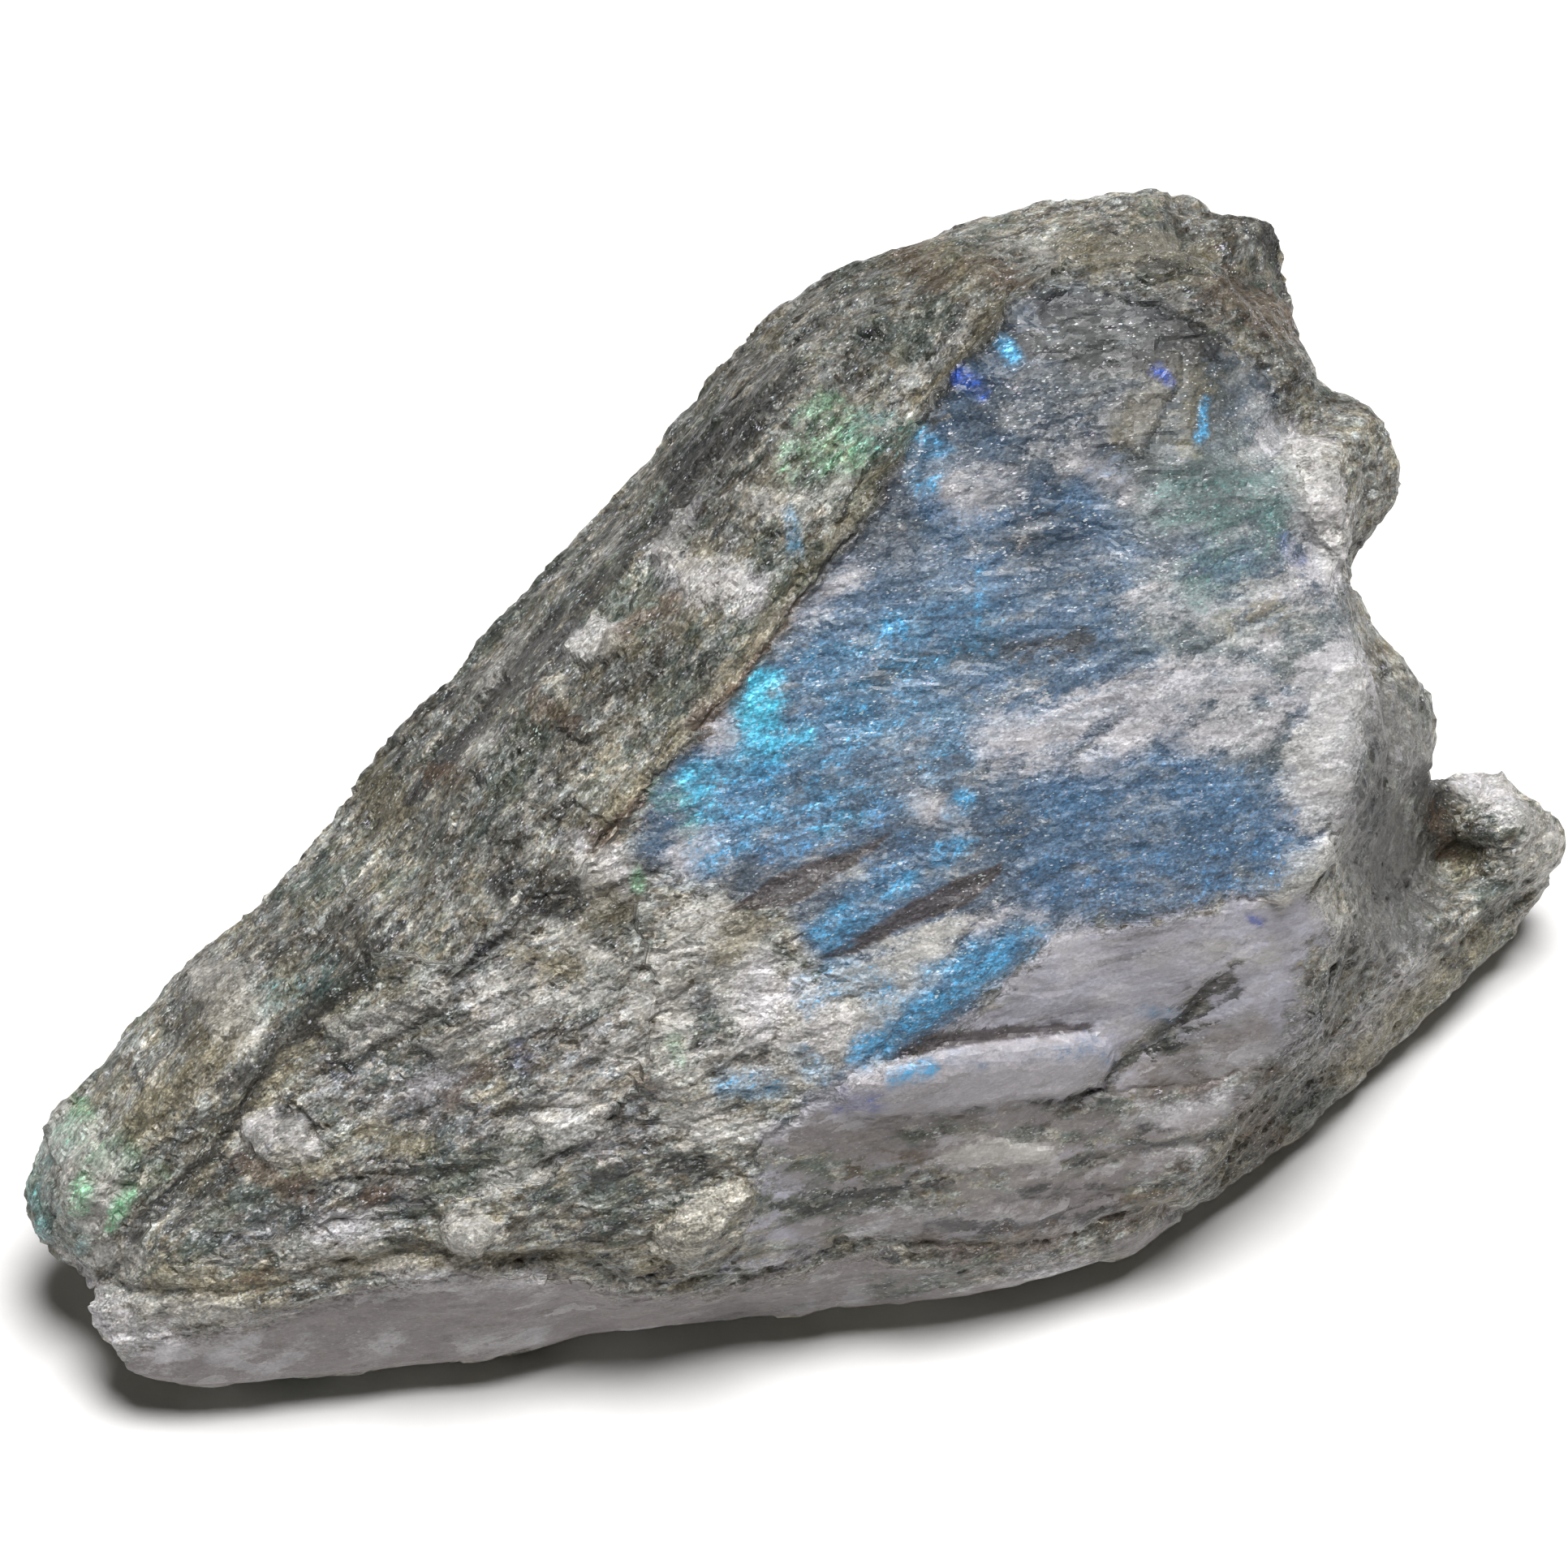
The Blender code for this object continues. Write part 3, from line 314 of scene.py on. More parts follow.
BARE = [
    (FLANK_CRACK, 0.30), ([(18.4, -9.6), (16.6, -11.4), (14.6, -12.6), (12.6, -14.2)], 0.45),
    ([(11.6, -14.4), (15.0, -14.2), (18.0, -13.6)], 0.18),
    ([(5.6, -15.6), (9.0, -15.2), (12.6, -15.6), (15.4, -16.0)], 0.30),
    ([(-0.9, -16.6), (3.4, -17.2), (9.5, -17.6)], 0.45),
    ([(-0.8, -18.7), (3.0, -18.5), (7.6, -18.2)], 0.6),
    ([(12.4, -16.9), (16.0, -16.2), (19.6, -15.4)], 0.3),
    ([(15.0, -14.4), (19.0, -13.6), (21.5, -12.6)], 0.5),
    ([(16.0, -18.4), (18.6, -16.8), (20.9, -14.6)], 0.9),
    ([(9.0, -20.4), (13.0, -20.0), (16.6, -19.0)], 0.5), ([(22.6, -10.8), (23.6, -7.6)], 0.5),
    ([(2.0, -20.0), (6.4, -20.6)], 0.4), ([(-1.8, -20.6), (0.6, -20.4)], 0.5),
    ([(-29.6, -25.4), (-28.4, -24.8)], 0.5), ([(4.0, -22.3), (9.0, -21.9), (14.6, -20.9)], 0.4),
]
# Bluer parts of the face: its broad blue labradorescence sheen, painted into the colour.
FACE_BLUE_SHEEN = [
    ([(-4.4, -1.0), (-1.2, 2.0), (2.0, 4.4), (4.6, 7.0)], 3.0),
    ([(8.6, 18.2), (7.0, 15.6), (9.4, 14.8)], 1.2),
    ([(6.6, 6.6), (11.0, 4.2), (12.6, 9.6), (9.4, 10.8)], 3.6),
    ([(11.6, -1.8), (17.6, -0.6), (21.2, -1.8)], 2.9), ([(1.6, -7.0), (4.6, -5.2), (7.0, -3.6)], 1.4),
    ([(2.8, -12.4), (6.6, -9.4), (11.0, -6.6)], 1.3), ([(16.4, 6.2), (20.2, 10.6)], 1.6),
    ([(13.6, 11.6), (14.8, 9.8)], 1.6),
]
LOW_FLANK = [
    ([(1.0, -16.4), (8.0, -15.6), (14.0, -15.0), (20.6, -12.6)], 1.5),
    ([(2.0, -19.0), (12.0, -18.2), (18.6, -16.0)], 1.9), ([(16.0, -12.6), (21.0, -11.0)], 0.9),
]
GREY_FACE = [
    ([(17.2, 13.8), (21.6, 12.8)], 3.0), ([(17.4, 7.6), (22.6, 6.4)], 2.2),
    ([(13.4, 19.6), (18.6, 17.6)], 1.6), ([(19.6, 2.6), (22.6, 1.0)], 1.4),
]
SIDE = [([(26.4, 3.4), (27.6, 1.0)], 1.3), ([(25.8, -1.6), (27.4, -3.6), (27.0, -6.4)], 1.6)]
VIOLET = [
    ([(-12.6, -8.4), (-9.4, -11.4), (-7.8, -15.6)], 2.4), ([(-19.0, -12.6), (-14.0, -15.4)], 1.6),
    ([(-24.4, -20.0), (-17.0, -18.4)], 1.2), ([(-3.4, -9.6), (-1.2, -12.6)], 1.4),
    ([(6.0, 15.0), (9.0, 18.0)], 1.5),
]

PATCHES = {
    "milky": MILKY, "sugary": SUGARY, "olive": OLIVE, "iron": IRON, "shade": SHADE, "dim_and_shade": DIM_AND_PAINTED_SHADE,
    "bare": BARE, "face_blue_sheen": FACE_BLUE_SHEEN, "low_flank": LOW_FLANK, "grey_face": GREY_FACE, "side": SIDE,
    "violet": VIOLET,
}

# Painted sheen: the labradorescence flashes are laid into the colour as patches: (spine, reach in
# millimetres, flash colour, strength).
PAINTED_SHEEN_FLASHES = [
    ([(-4.3, 0.3), (-3.3, -1.1)], 0.5, "cyan", 0.75), ([(15.9, -10.0), (17.1, -10.3)], 0.3, "azure", 0.5),
    ([(22.3, 10.9), (22.8, 10.0)], 0.35, "deep", 0.5), ([(1.6, -2.2), (3.4, -1.4)], 0.35, "cyan", 0.45),
    ([(-1.1, 2.4), (-0.8, 4.3)], 1.05, "cyan", 1.0), ([(-0.2, 1.6), (1.1, 1.9)], 0.62, "cyan", 0.85),
    ([(-3.5, -0.6), (-2.4, -0.3), (-0.6, 0.9)], 1.5, "azure", 0.74),
    ([(1.6, 2.0), (4.6, 2.4), (7.0, 1.8)], 1.5, "azure", 0.42),
    ([(0.4, -1.0), (2.4, 0.4), (3.2, 2.4)], 1.6, "azure", 0.5),
    ([(-3.6, -3.2), (-2.4, -2.4), (-1.0, -1.6)], 0.8, "azure", 0.75),
    ([(-0.6, -2.8), (2.0, -2.1), (4.2, -1.2)], 0.7, "blue", 0.7),
    ([(7.4, -1.7), (7.9, -0.7)], 0.5, "azure", 0.75), ([(7.0, -3.2), (8.0, -2.5)], 0.5, "azure", 0.8),
    ([(1.8, -6.8), (3.6, -5.4), (5.2, -4.0)], 0.75, "azure", 0.72),
    ([(4.2, -4.0), (5.4, -2.8)], 0.7, "blue", 0.7),
    ([(3.6, -11.9), (5.0, -10.8), (6.8, -9.6)], 0.75, "azure", 0.92),
    ([(7.0, -9.0), (9.0, -7.8), (11.2, -7.0)], 1.0, "azure", 0.8),
    ([(10.6, -7.6), (13.6, -7.2), (16.2, -6.8)], 0.8, "blue", 0.45),
    ([(11.6, -4.4), (16.4, -4.2), (21.6, -3.6)], 1.3, "blue", 0.5),
    ([(12.6, -1.0), (17.0, -0.2), (21.0, -0.6)], 1.6, "blue", 0.34),
    ([(1.4, 4.6), (5.2, 5.8), (8.4, 7.2)], 1.6, "azure", 0.34),
    ([(5.0, 7.0), (5.6, 4.4), (5.2, 1.8)], 1.0, "azure", 0.34),
    ([(9.8, 19.6), (10.1, 18.9)], 0.4, "azure", 0.9), ([(8.0, 17.9), (8.7, 17.5)], 0.45, "deep", 0.8),
    ([(6.0, 15.0), (6.8, 14.4), (6.2, 13.4)], 0.7, "azure", 0.7),
    ([(18.7, 17.1), (18.6, 15.8), (18.3, 15.2)], 0.25, "azure", 0.85),
    ([(16.6, 18.2), (17.0, 17.8)], 0.3, "deep", 0.7), ([(4.5, 7.2), (4.7, 6.6)], 0.22, "azure", 0.9),
    ([(5.3, 7.2), (5.2, 6.6)], 0.2, "azure", 0.8), ([(8.7, 9.4), (8.6, 7.2)], 0.25, "azure", 0.7),
    ([(1.8, 16.2), (2.8, 15.2), (1.0, 14.4)], 1.1, "green", 0.38),
    ([(3.6, 15.8), (5.2, 15.6)], 0.9, "teal", 0.35),
    ([(-31.9, -15.4), (-31.2, -14.4)], 0.5, "green", 0.62),
    ([(-32.6, -16.4), (-31.8, -15.2)], 0.6, "teal", 0.6),
    ([(-30.9, -17.6), (-31.1, -18.6)], 0.45, "green", 0.68),
    ([(-28.9, -18.0), (-29.8, -19.4)], 0.35, "green", 0.7),
    ([(-33.0, -19.6), (-31.4, -20.2)], 0.6, "teal", 0.6),
    ([(-33.4, -17.4), (-32.4, -18.6)], 0.9, "teal", 0.4),
    ([(-30.6, -16.0), (-28.4, -17.4)], 0.9, "green", 0.2),
    ([(-6.6, -3.8), (-6.4, -4.6)], 0.3, "green", 0.6),
    ([(-4.9, -11.4), (-4.7, -12.2)], 0.4, "green", 0.4),
    ([(-5.6, -0.4), (-4.6, -0.9), (-4.2, -1.8)], 0.6, "green", 0.45),
    ([(20.7, -6.0), (21.0, -6.1)], 0.24, "deep", 1.0),
    ([(-2.4, -13.2), (-0.6, -13.4)], 0.7, "azure", 0.6),
    ([(0.6, -12.0), (1.6, -12.8)], 0.5, "azure", 0.35),
    ([(-11.8, -11.8), (-11.5, -12.2)], 0.5, "deep", 0.35),
    ([(4.8, -13.0), (6.4, -12.4)], 0.35, "azure", 0.8), ([(2.6, -14.0), (4.0, -13.9)], 0.5, "deep", 0.35),
    ([(1.2, -9.2), (2.8, -8.6), (4.4, -9.2)], 0.8, "azure", 0.45),
    ([(14.2, -12.0), (13.4, -11.4)], 0.4, "blue", 0.4),
    ([(7.4, -12.2), (10.4, -11.9), (13.2, -11.8)], 0.3, "blue", 0.3),
    ([(-22.6, -9.6), (-20.4, -8.4)], 0.9, "teal", 0.15),
    ([(17.6, 12.4), (20.8, 12.8)], 1.6, "teal", 0.25), ([(19.0, 9.0), (21.6, 12.2)], 1.6, "teal", 0.22),
    ([(0.2, 12.2), (0.5, 10.2)], 0.3, "azure", 0.4), ([(-3.4, 0.4), (-2.0, 1.0)], 0.6, "cyan", 0.5),
    ([(12.4, 12.2), (14.6, 13.6)], 0.8, "blue", 0.3),
    ([(6.4, 12.2), (8.0, 11.6), (9.6, 11.8)], 0.5, "blue", 0.35),
    ([(3.6, -0.6), (5.6, -1.0)], 0.6, "azure", 0.35),
]

# Grain direction by region, and how rough each region is broken: (outline, grain angle, roughness).
LEFT_GRAIN = [
    (-30.2, -22.4), (-25.0, -16.0), (-22.4, -11.8), (-18.4, -7.4), (-13.7, -8.1), (-9.6, -4.8),
    (-6.8, -5.4), (-5.6, -8.6), (-6.4, -13.4), (-10.4, -17.4), (-20.0, -19.4),
]
LOBE = [
    (24.8, 8.1), (25.6, 4.9), (25.9, 2.0), (25.4, -0.6), (24.2, -2.7), (24.3, -6.2), (29.0, -3.4),
    (32.0, 2.0), (31.0, 8.0), (28.0, 12.0),
]
REGIONS = [
    (BAND, math.radians(47.0), 1.0), (LEFT_GRAIN, math.radians(27.0), 0.95),
    (FACE, math.radians(14.0), 0.25), (FLANK, math.radians(11.0), 0.12),
    (SLAB_SIDE, math.radians(7.0), 0.12), (LOBE, math.radians(-25.0), 0.55),
]
PLAIN_GRAIN = math.radians(16.0)

# Making the mesh even.
MERGE_DISTANCE = 1e-7
SMOOTHING = 0.5
SMOOTHING_ROUNDS = 2
# Rounding the ridges: each round moves the points in and nearly as far out again.
RIDGE_ROUNDS = 12
ROUND_IN = 0.7
ROUND_OUT = 0.68
# The mean normal around a point is this long on a sharp ridge, and this long where the mesh is even.
RIDGE_LIMITS = (0.66, 0.93)
BREAKING_LIMITS = (0.80, 0.97)
# Corners that are rounded off: (spine, reach) in millimetres.
BLUNT = [([(31.4, 0.4), (32.6, 1.2)], 2.0), ([(22.2, 23.5), (22.8, 23.2)], 1.1)]

# Breaking up the surface; widths and lengths are in millimetres.
STREAK_WIDTH = 0.34
STREAK_STRETCH = 9.0
STREAK_LAYERS = (0.8, 2.1, 3)               # falloff, gap and number of the noise's layers
TERRACE_WIDTH = 2.3
TERRACE_STRETCH = 4.5
TERRACE_COUNT = 2.6                         # terraces that one swell is cut into
RISER_SHARE = 0.14                          # share of a terrace that its step takes
LEAST_STREAKS = 0.15                        # share of the streaks that the smoothest places keep
LEAST_TERRACES = 0.25                       # share of the terraces that they keep
WIDE_WANDER = 1.1
FINE_WANDER = 0.45
SCATTER = 53.0                              # sets the leans of neighbouring cells apart
CREASE_SPREAD = 1.3                         # reach of a crease in widths
PIT_FLOOR = 1.2                             # above one, so that the pits have flat floors
PIT_LENGTH = 0.1
# Ranges over which something sets in.
SHOWING = (-0.15, 0.12)                     # lean of a surface towards the eye, for the front
REGION_EDGE = (-0.4, 0.6)                   # depth in a region
FACE_EDGE = (-0.15, 0.15)                   # depth in the face, for its flashes
BLUNT_EDGE = (0.0, 0.9)                     # depth in a blunt corner
FLASH_REACH = 1.6                           # how far a flash goes, in its own reaches
FLASH_FADE = 1.1                            # how wide its edge is, in its own reaches


def tone(red, green, blue):
    """A linear colour from display values of 0 to 255."""
    return tuple((value / 255.0) ** 2.2 for value in (red, green, blue))


# Colours of the painted sheen flashes.
PAINTED_SHEEN_TONES = {
    "cyan": tone(96, 206, 240),
    "azure": tone(92, 172, 222),
    "blue": tone(88, 140, 188),
    "deep": tone(44, 88, 190),
    "green": tone(136, 206, 156),
    "teal": tone(98, 166, 164),
}


def size_property(name, description, millimetres):
    """A length that a user can change."""
    return bpy.props.FloatProperty(
        name=name, description=description, default=millimetres * MM, min=0.0, unit="LENGTH", precision=5
    )


def share_property(name, description, share, most=1.0):
    """A plain share or factor that a user can change."""
    return bpy.props.FloatProperty(name=name, description=description, default=share, min=0.0, max=most)


def colour_property(name, description, colour):
    """A colour that a user can change."""
    return bpy.props.FloatVectorProperty(
        name=name, description=description, default=colour, subtype="COLOR", size=3, min=0.0, max=1.0
    )


class StoneShape(bpy.types.PropertyGroup):
    """How finely the stone is broken up."""

    mesh_size: size_property("Mesh size", "Evenness of the mesh before the front is made finer", 0.51)
    chip_size: size_property("Chip size", "Width of the larger chipped facets", 2.5)
    slab_size: size_property("Slab size", "Width of the broad facets on the back", 6.5)
    slab_tilt: share_property("Slab tilt", "How far the broad facets lean", 0.16)
    grain_size: size_property("Grain size", "Width of the broken grains", 0.75)
    chip_tilt: share_property("Chip tilt", "How far the chipped facets lean", 0.17)
    grain_tilt: share_property("Grain tilt", "How far the broken grains lean", 0.17)
    grain_stretch: share_property("Grain stretch", "How long grains are along the grain", 1.7, 8.0)
    streak_depth: size_property("Streak depth", "Depth of the fine streaks along the grain", 0.035)
    terrace_step: size_property("Terrace step", "Height of one cleavage terrace", 0.13)
    wobble: size_property("Wobble", "How far drawn edges wander", 0.24)


class StoneFinish(bpy.types.PropertyGroup):
    """Colours and grain of the stone."""

    ground_dark: colour_property("Dark ground", "Dark grey-green feldspar", tone(84, 79, 71))
    ground_light: colour_property("Light ground", "Lighter grey feldspar", tone(159, 157, 152))
    ground_olive: colour_property("Olive ground", "Brownish olive feldspar", tone(124, 117, 99))
    ground_green: colour_property("Green ground", "Dark bottle-green feldspar", tone(78, 86, 79))
    steel: colour_property("Cleavage face", "Steel blue of the broad face", tone(84, 96, 112))
    # Painted sheen: the broad blue of the face's bluer parts.
    lake_sheen: colour_property("Bluer face", "Bluer parts of the broad face", tone(68, 96, 124))
    # Made paler than the flank's own colour: painted light on a side that the overhead light reaches less.
    mauve: colour_property("Flank", "Glassy mauve grey of the flank", tone(171, 169, 179))
    slab: colour_property("Bottom slab", "Warm grey of the slab's side", tone(133, 127, 126))
    milky: colour_property("Milky crystals", "Lilac white crystals", tone(188, 185, 188))
    sugary: colour_property("Sugary crystals", "Greyish white sugary crystals", tone(180, 177, 171))
    olive: colour_property("Olive crystals", "Yellow olive crystals", tone(126, 118, 95))
    iron: colour_property("Iron stain", "Brown iron stain", tone(98, 82, 68))
    # Also laid as painted shade in cracks, hollows and recesses.
    shade: colour_property("Dark streaks", "Nearly black streaks and hollows", tone(54, 54, 54))
    ledge: colour_property("Ledge", "Warm grey glassy ledge", tone(166, 161, 164))
    grey_face: colour_property("Grey face", "Greyer parts of the broad face", tone(104, 110, 108))
    side: colour_property("Side", "Dim glassy grey of the right side", tone(116, 115, 114))
    warm: colour_property("Warm tint", "Tint of the warmer grains", (1.0, 0.975, 0.90))
    cool: colour_property("Cool tint", "Tint of the cooler grains", (0.90, 0.98, 1.0))
    violet: colour_property("Violet tint", "Tint of the violet ground", (0.90, 0.90, 1.0))
    # Also the colour of the painted shadow above the ledge.
    lens: colour_property("Dark lenses", "Brownish glassy lenses", tone(76, 69, 68))
    # Painted glint colour: tiny bright specks that stand in for light caught by cleavage facets.
    painted_sparkle: colour_property("Sparkle", "Tiny bright cleavage glints", tone(240, 242, 246))
    speck_size: size_property("Speck size", "Size of the finest visible grains", 0.085)
    fleck_size: size_property("Fleck size", "Size of the coarser flecks", 0.30)
    fray_size: size_property("Fray size", "Size of the frayed edges between finishes", 0.9)
    roughness: share_property("Roughness", "Roughness of the broken surface", 0.46)


class StageSettings(bpy.types.PropertyGroup):
    """Floor, lights and camera."""

    floor_colour: colour_property("Floor", "Plain pale floor", (0.94, 0.93, 0.925))
    floor_size: size_property("Floor size", "Side of the floor", 4000.0)
    light_place: bpy.props.FloatVectorProperty(
        name="Light place",
        description="Where the soft light hangs",
        default=(0.045, 0.05, 0.50),
        subtype="TRANSLATION",
    )
    light_size: size_property("Light size", "Width of the soft light overhead", 290.0)
    light_power: share_property("Light power", "Watts of the soft light overhead", 3.85, 1000.0)
    fill: share_property("Fill", "Strength of the plain surroundings", 0.015, 10.0)
    camera_distance: size_property("Camera distance", "From the drawing's origin to the camera", EYE_HEIGHT)
    lens: share_property("Lens", "Focal length in millimetres", 200.0, 1000.0)


# --- Measuring on the drawing ---------------------------------------------------------------------
def on_drawing(points):
    """Places in millimetres square to the face, and the same as the drawing's eye sees them."""
    turn = np.array(Matrix.Rotation(-FACE_TILT, 3, "X"))
    square = (points / MM - np.array(DRAWING_ORIGIN)) @ turn.T
    seen = square[:, :2] / (1.0 - square[:, 2:] / EYE_HEIGHT)
    return square, seen


def line_distance(places, line):
    """Distance from each place to a line of points."""
    best = np.full(len(places), np.inf)
    for start, end in zip(line[:-1], line[1:]):
        along = np.subtract(end, start)
        share = np.clip((places - start) @ along / (along @ along), 0.0, 1.0)
        gap = places - start - share[:, None] * along
        best = np.minimum(best, np.hypot(gap[:, 0], gap[:, 1]))
    return best


def inside(places, outline):
    """Whether each place lies inside a closed outline."""
    found = np.zeros(len(places), dtype=bool)
    x, y = places[:, 0], places[:, 1]
    for (ax, ay), (bx, by) in zip(outline, outline[1:] + outline[:1]):
        if ay == by:
            continue
        crosses = (ay > y) != (by > y)
        found ^= crosses & (x < ax + (y - ay) * (bx - ax) / (by - ay))
    return found


def depth_inside(places, outline):
    """How far inside a closed outline each place lies; negative outside."""
    edge = line_distance(places, outline + outline[:1])
    return np.where(inside(places, outline), edge, -edge)


def depth_in_patches(places, patches):
    """How far inside the nearest of many (spine, reach) patches each place lies."""
    best = np.full(len(places), -np.inf)
    for spine, reach in patches:
        best = np.maximum(best, reach - line_distance(places, spine))
    return best


def ramp(values, low, high):
    """Zero at the low value, one at the high value, and smooth between."""
    share = np.clip((values - low) / (high - low), 0.0, 1.0)
    return share * share * (3.0 - 2.0 * share)


# --- Noise ----------------------------------------------------------------------------------------
def each(places, measure):
    """One measured number for each place."""
    return np.array([measure(Vector(place)) for place in places])


def soft_noise(places, size):
    """Smooth noise from about -1 to 1."""
    return each(places / size, noise.noise)


def streaky_noise(places, size):
    """Layered noise from about -1 to 1."""
    return each(places / size, lambda place: noise.fractal(place, *STREAK_LAYERS))


def tilted_cells(places, size):
    """Height of broken cells, in cell widths: each is a flat facet with a lean of its own."""
    middle = Vector((0.5, 0.5, 0.5))

    def height(place):
        centre = noise.voronoi(place)[1][0]
        lean = noise.cell_vector(centre * SCATTER) - middle
        return lean.dot(place - centre)

    return each(places / size, height)


def along_grain(square, angles, stretch):
    """Places turned so that the first axis runs along the grain, and shortened along it."""
    across, up, out = square.T
    cosine, sine = np.cos(angles), np.sin(angles)
    along = (across * cosine + up * sine) / stretch
    return np.stack((along, up * cosine - across * sine, out), axis=1)


# --- The stone ------------------------------------------------------------------------------------
def even_copy(node, mesh_size):
    """A copy of the solid with an even, softened mesh."""
    bm = bmesh.new()
    bm.from_mesh(node.data)
    bmesh.ops.remove_doubles(bm, verts=bm.verts, dist=MERGE_DISTANCE)
    mesh = bpy.data.meshes.new("labradorite_even")
    bm.to_mesh(mesh)
    bm.free()
    copy = bpy.data.objects.new("labradorite_even", mesh)
    bpy.context.scene.collection.objects.link(copy)
    remesh = copy.modifiers.new("even_mesh", "REMESH")
    remesh.mode = "VOXEL"
    remesh.voxel_size = mesh_size
    soften = copy.modifiers.new("soften", "SMOOTH")
    soften.factor = SMOOTHING
    soften.iterations = SMOOTHING_ROUNDS
    graph = bpy.context.evaluated_depsgraph_get()
    graph.update()
    even = bpy.data.meshes.new_from_object(copy.evaluated_get(graph))
    bpy.data.objects.remove(copy)
    return even


def finer_front(mesh):
    """Divide the faces that show on the drawing once more."""
    bm = bmesh.new()
    bm.from_mesh(mesh)
    eye = Vector(FACE_NORMAL)
    front = {edge for face in bm.faces if face.normal.dot(eye) > FACING_EYE for edge in face.edges}
    bmesh.ops.subdivide_edges(bm, edges=list(front), cuts=1, use_grid_fill=True)
    bmesh.ops.triangulate(bm, faces=bm.faces)
    bm.to_mesh(mesh)
    bm.free()


def vertex_arrays(mesh):
    """Places and normals of a mesh's points."""
    count = len(mesh.vertices)
    places, normals = np.empty(count * 3), np.empty(count * 3)
    mesh.vertices.foreach_get("co", places)
    mesh.vertices.foreach_get("normal", normals)
    return places.reshape(-1, 3), normals.reshape(-1, 3)


def neighbour_mean(mesh, values):
    """The mean, at each point, of the values of the points that an edge joins it to."""
    ends = np.empty(len(mesh.edges) * 2, dtype=np.int64)
    mesh.edges.foreach_get("vertices", ends)
    first, second = ends.reshape(-1, 2).T
    total = np.zeros_like(values)
    np.add.at(total, first, values[second])
    np.add.at(total, second, values[first])
    return total / np.bincount(ends, minlength=len(values))[:, None]


def evenness(mesh, normals, limits):
    """One where the mesh is even, and down to zero along its sharp ridges."""
    return ramp(np.linalg.norm(neighbour_mean(mesh, normals), axis=1), *limits)


def soften_ridges(mesh):
    """Round the sharpest ridges without drawing them in, and round off the blunt corners."""
    places, normals = vertex_arrays(mesh)
    seen = on_drawing(places)[1]
    blunt = ramp(depth_in_patches(seen, BLUNT), *BLUNT_EDGE)[:, None]
    sharp = 1.0 - evenness(mesh, normals, RIDGE_LIMITS)[:, None]
    for _ in range(RIDGE_ROUNDS):
        places += np.maximum(sharp, blunt) * ROUND_IN * (neighbour_mean(mesh, places) - places)
        places -= sharp * (1.0 - blunt) * ROUND_OUT * (neighbour_mean(mesh, places) - places)
    mesh.vertices.foreach_set("co", places.ravel())
    mesh.update()


def grain_and_roughness(seen, front):
    """Grain angle and share of roughness of each point."""
    angles = np.full(len(seen), PLAIN_GRAIN)
    rough = np.ones(len(seen))
    for outline, angle, roughness in REGIONS:
        depth = depth_inside(seen, outline)
        angles = np.where(depth > 0.0, angle, angles)
        share = ramp(depth, *REGION_EDGE) * front
        rough = rough * (1.0 - share) + roughness * share
    return angles, rough


def drawn_relief(places):
    """Height in millimetres of the creases, plates and pits on the front."""
    height = np.zeros(len(places))
    for line, width, rise in CREASES:
        height += rise * np.clip(1.0 - line_distance(places, line) / (CREASE_SPREAD * width), 0.0, 1.0)
    for outline, width, rise in PLATES:
        height += rise * ramp(depth_inside(places, outline), -width / 2.0, width)
    for (across, up), radius, rise in PITS:
        spot = [(across, up), (across + PIT_LENGTH, up)]
        height += rise * np.clip(PIT_FLOOR - line_distance(places, spot) / radius, 0.0, 1.0)
    return height


def facets(grained, size, tilt):
    """Height in millimetres of tilted facets of a size."""
    return size / MM * tilt * tilted_cells(grained, size / MM)


def break_up(shape, square, seen, front, angles, rough):
    """Height in millimetres that the broken surface adds at each point."""
    grained = along_grain(square, angles, shape.grain_stretch)
    chips = facets(grained, shape.chip_size, shape.chip_tilt)
    grains = facets(grained, shape.grain_size, shape.grain_tilt)
    slabs = facets(grained, shape.slab_size, shape.slab_tilt)
    streaks = streaky_noise(along_grain(square, angles, STREAK_STRETCH), STREAK_WIDTH)
    streaks *= shape.streak_depth / MM * (LEAST_STREAKS + (1.0 - LEAST_STREAKS) * rough)
    swell = streaky_noise(along_grain(square, angles, TERRACE_STRETCH), TERRACE_WIDTH) * TERRACE_COUNT
    level = np.floor(swell)
    terraces = level + np.clip((swell - level - 0.5) / RISER_SHARE + 0.5, 0.0, 1.0)
    terraces *= shape.terrace_step / MM * (LEAST_TERRACES + (1.0 - LEAST_TERRACES) * rough)
    height = rough * (chips + grains) + streaks + terraces
    return height + front * drawn_relief(seen) + (1.0 - front) * slabs


def hidden(depth, front):
    """Depths that count as outside where the front turns away."""
    return np.clip(depth, -1.0, 1.0) * front - (1.0 - front)


def store(mesh, name, values):
    """Keep one number for each point under a name that the finish reads."""
    mesh.attributes.new(name, "FLOAT", "POINT").data.foreach_set("value", values.astype(np.float32))


def painted_sheen_colours(places, front):
    """Colour and strength of the painted sheen flashes at each point."""
    total = np.full(len(places), 1e-6)
    colour = np.zeros((len(places), 3))
    strongest = np.zeros(len(places))
    on_face = ramp(depth_inside(places, FACE), *FACE_EDGE)
    for spine, reach, name, strength in PAINTED_SHEEN_FLASHES:
        depth = reach * FLASH_REACH - line_distance(places, spine)
        share = strength * ramp(depth, 0.0, reach * FLASH_FADE)
        if inside(np.array(spine[:1]), FACE)[0]:
            share = share * on_face
        colour += share[:, None] * np.array(PAINTED_SHEEN_TONES[name])
        total += share
        strongest = np.maximum(strongest, share)
    return np.column_stack((colour / total[:, None], strongest * front))


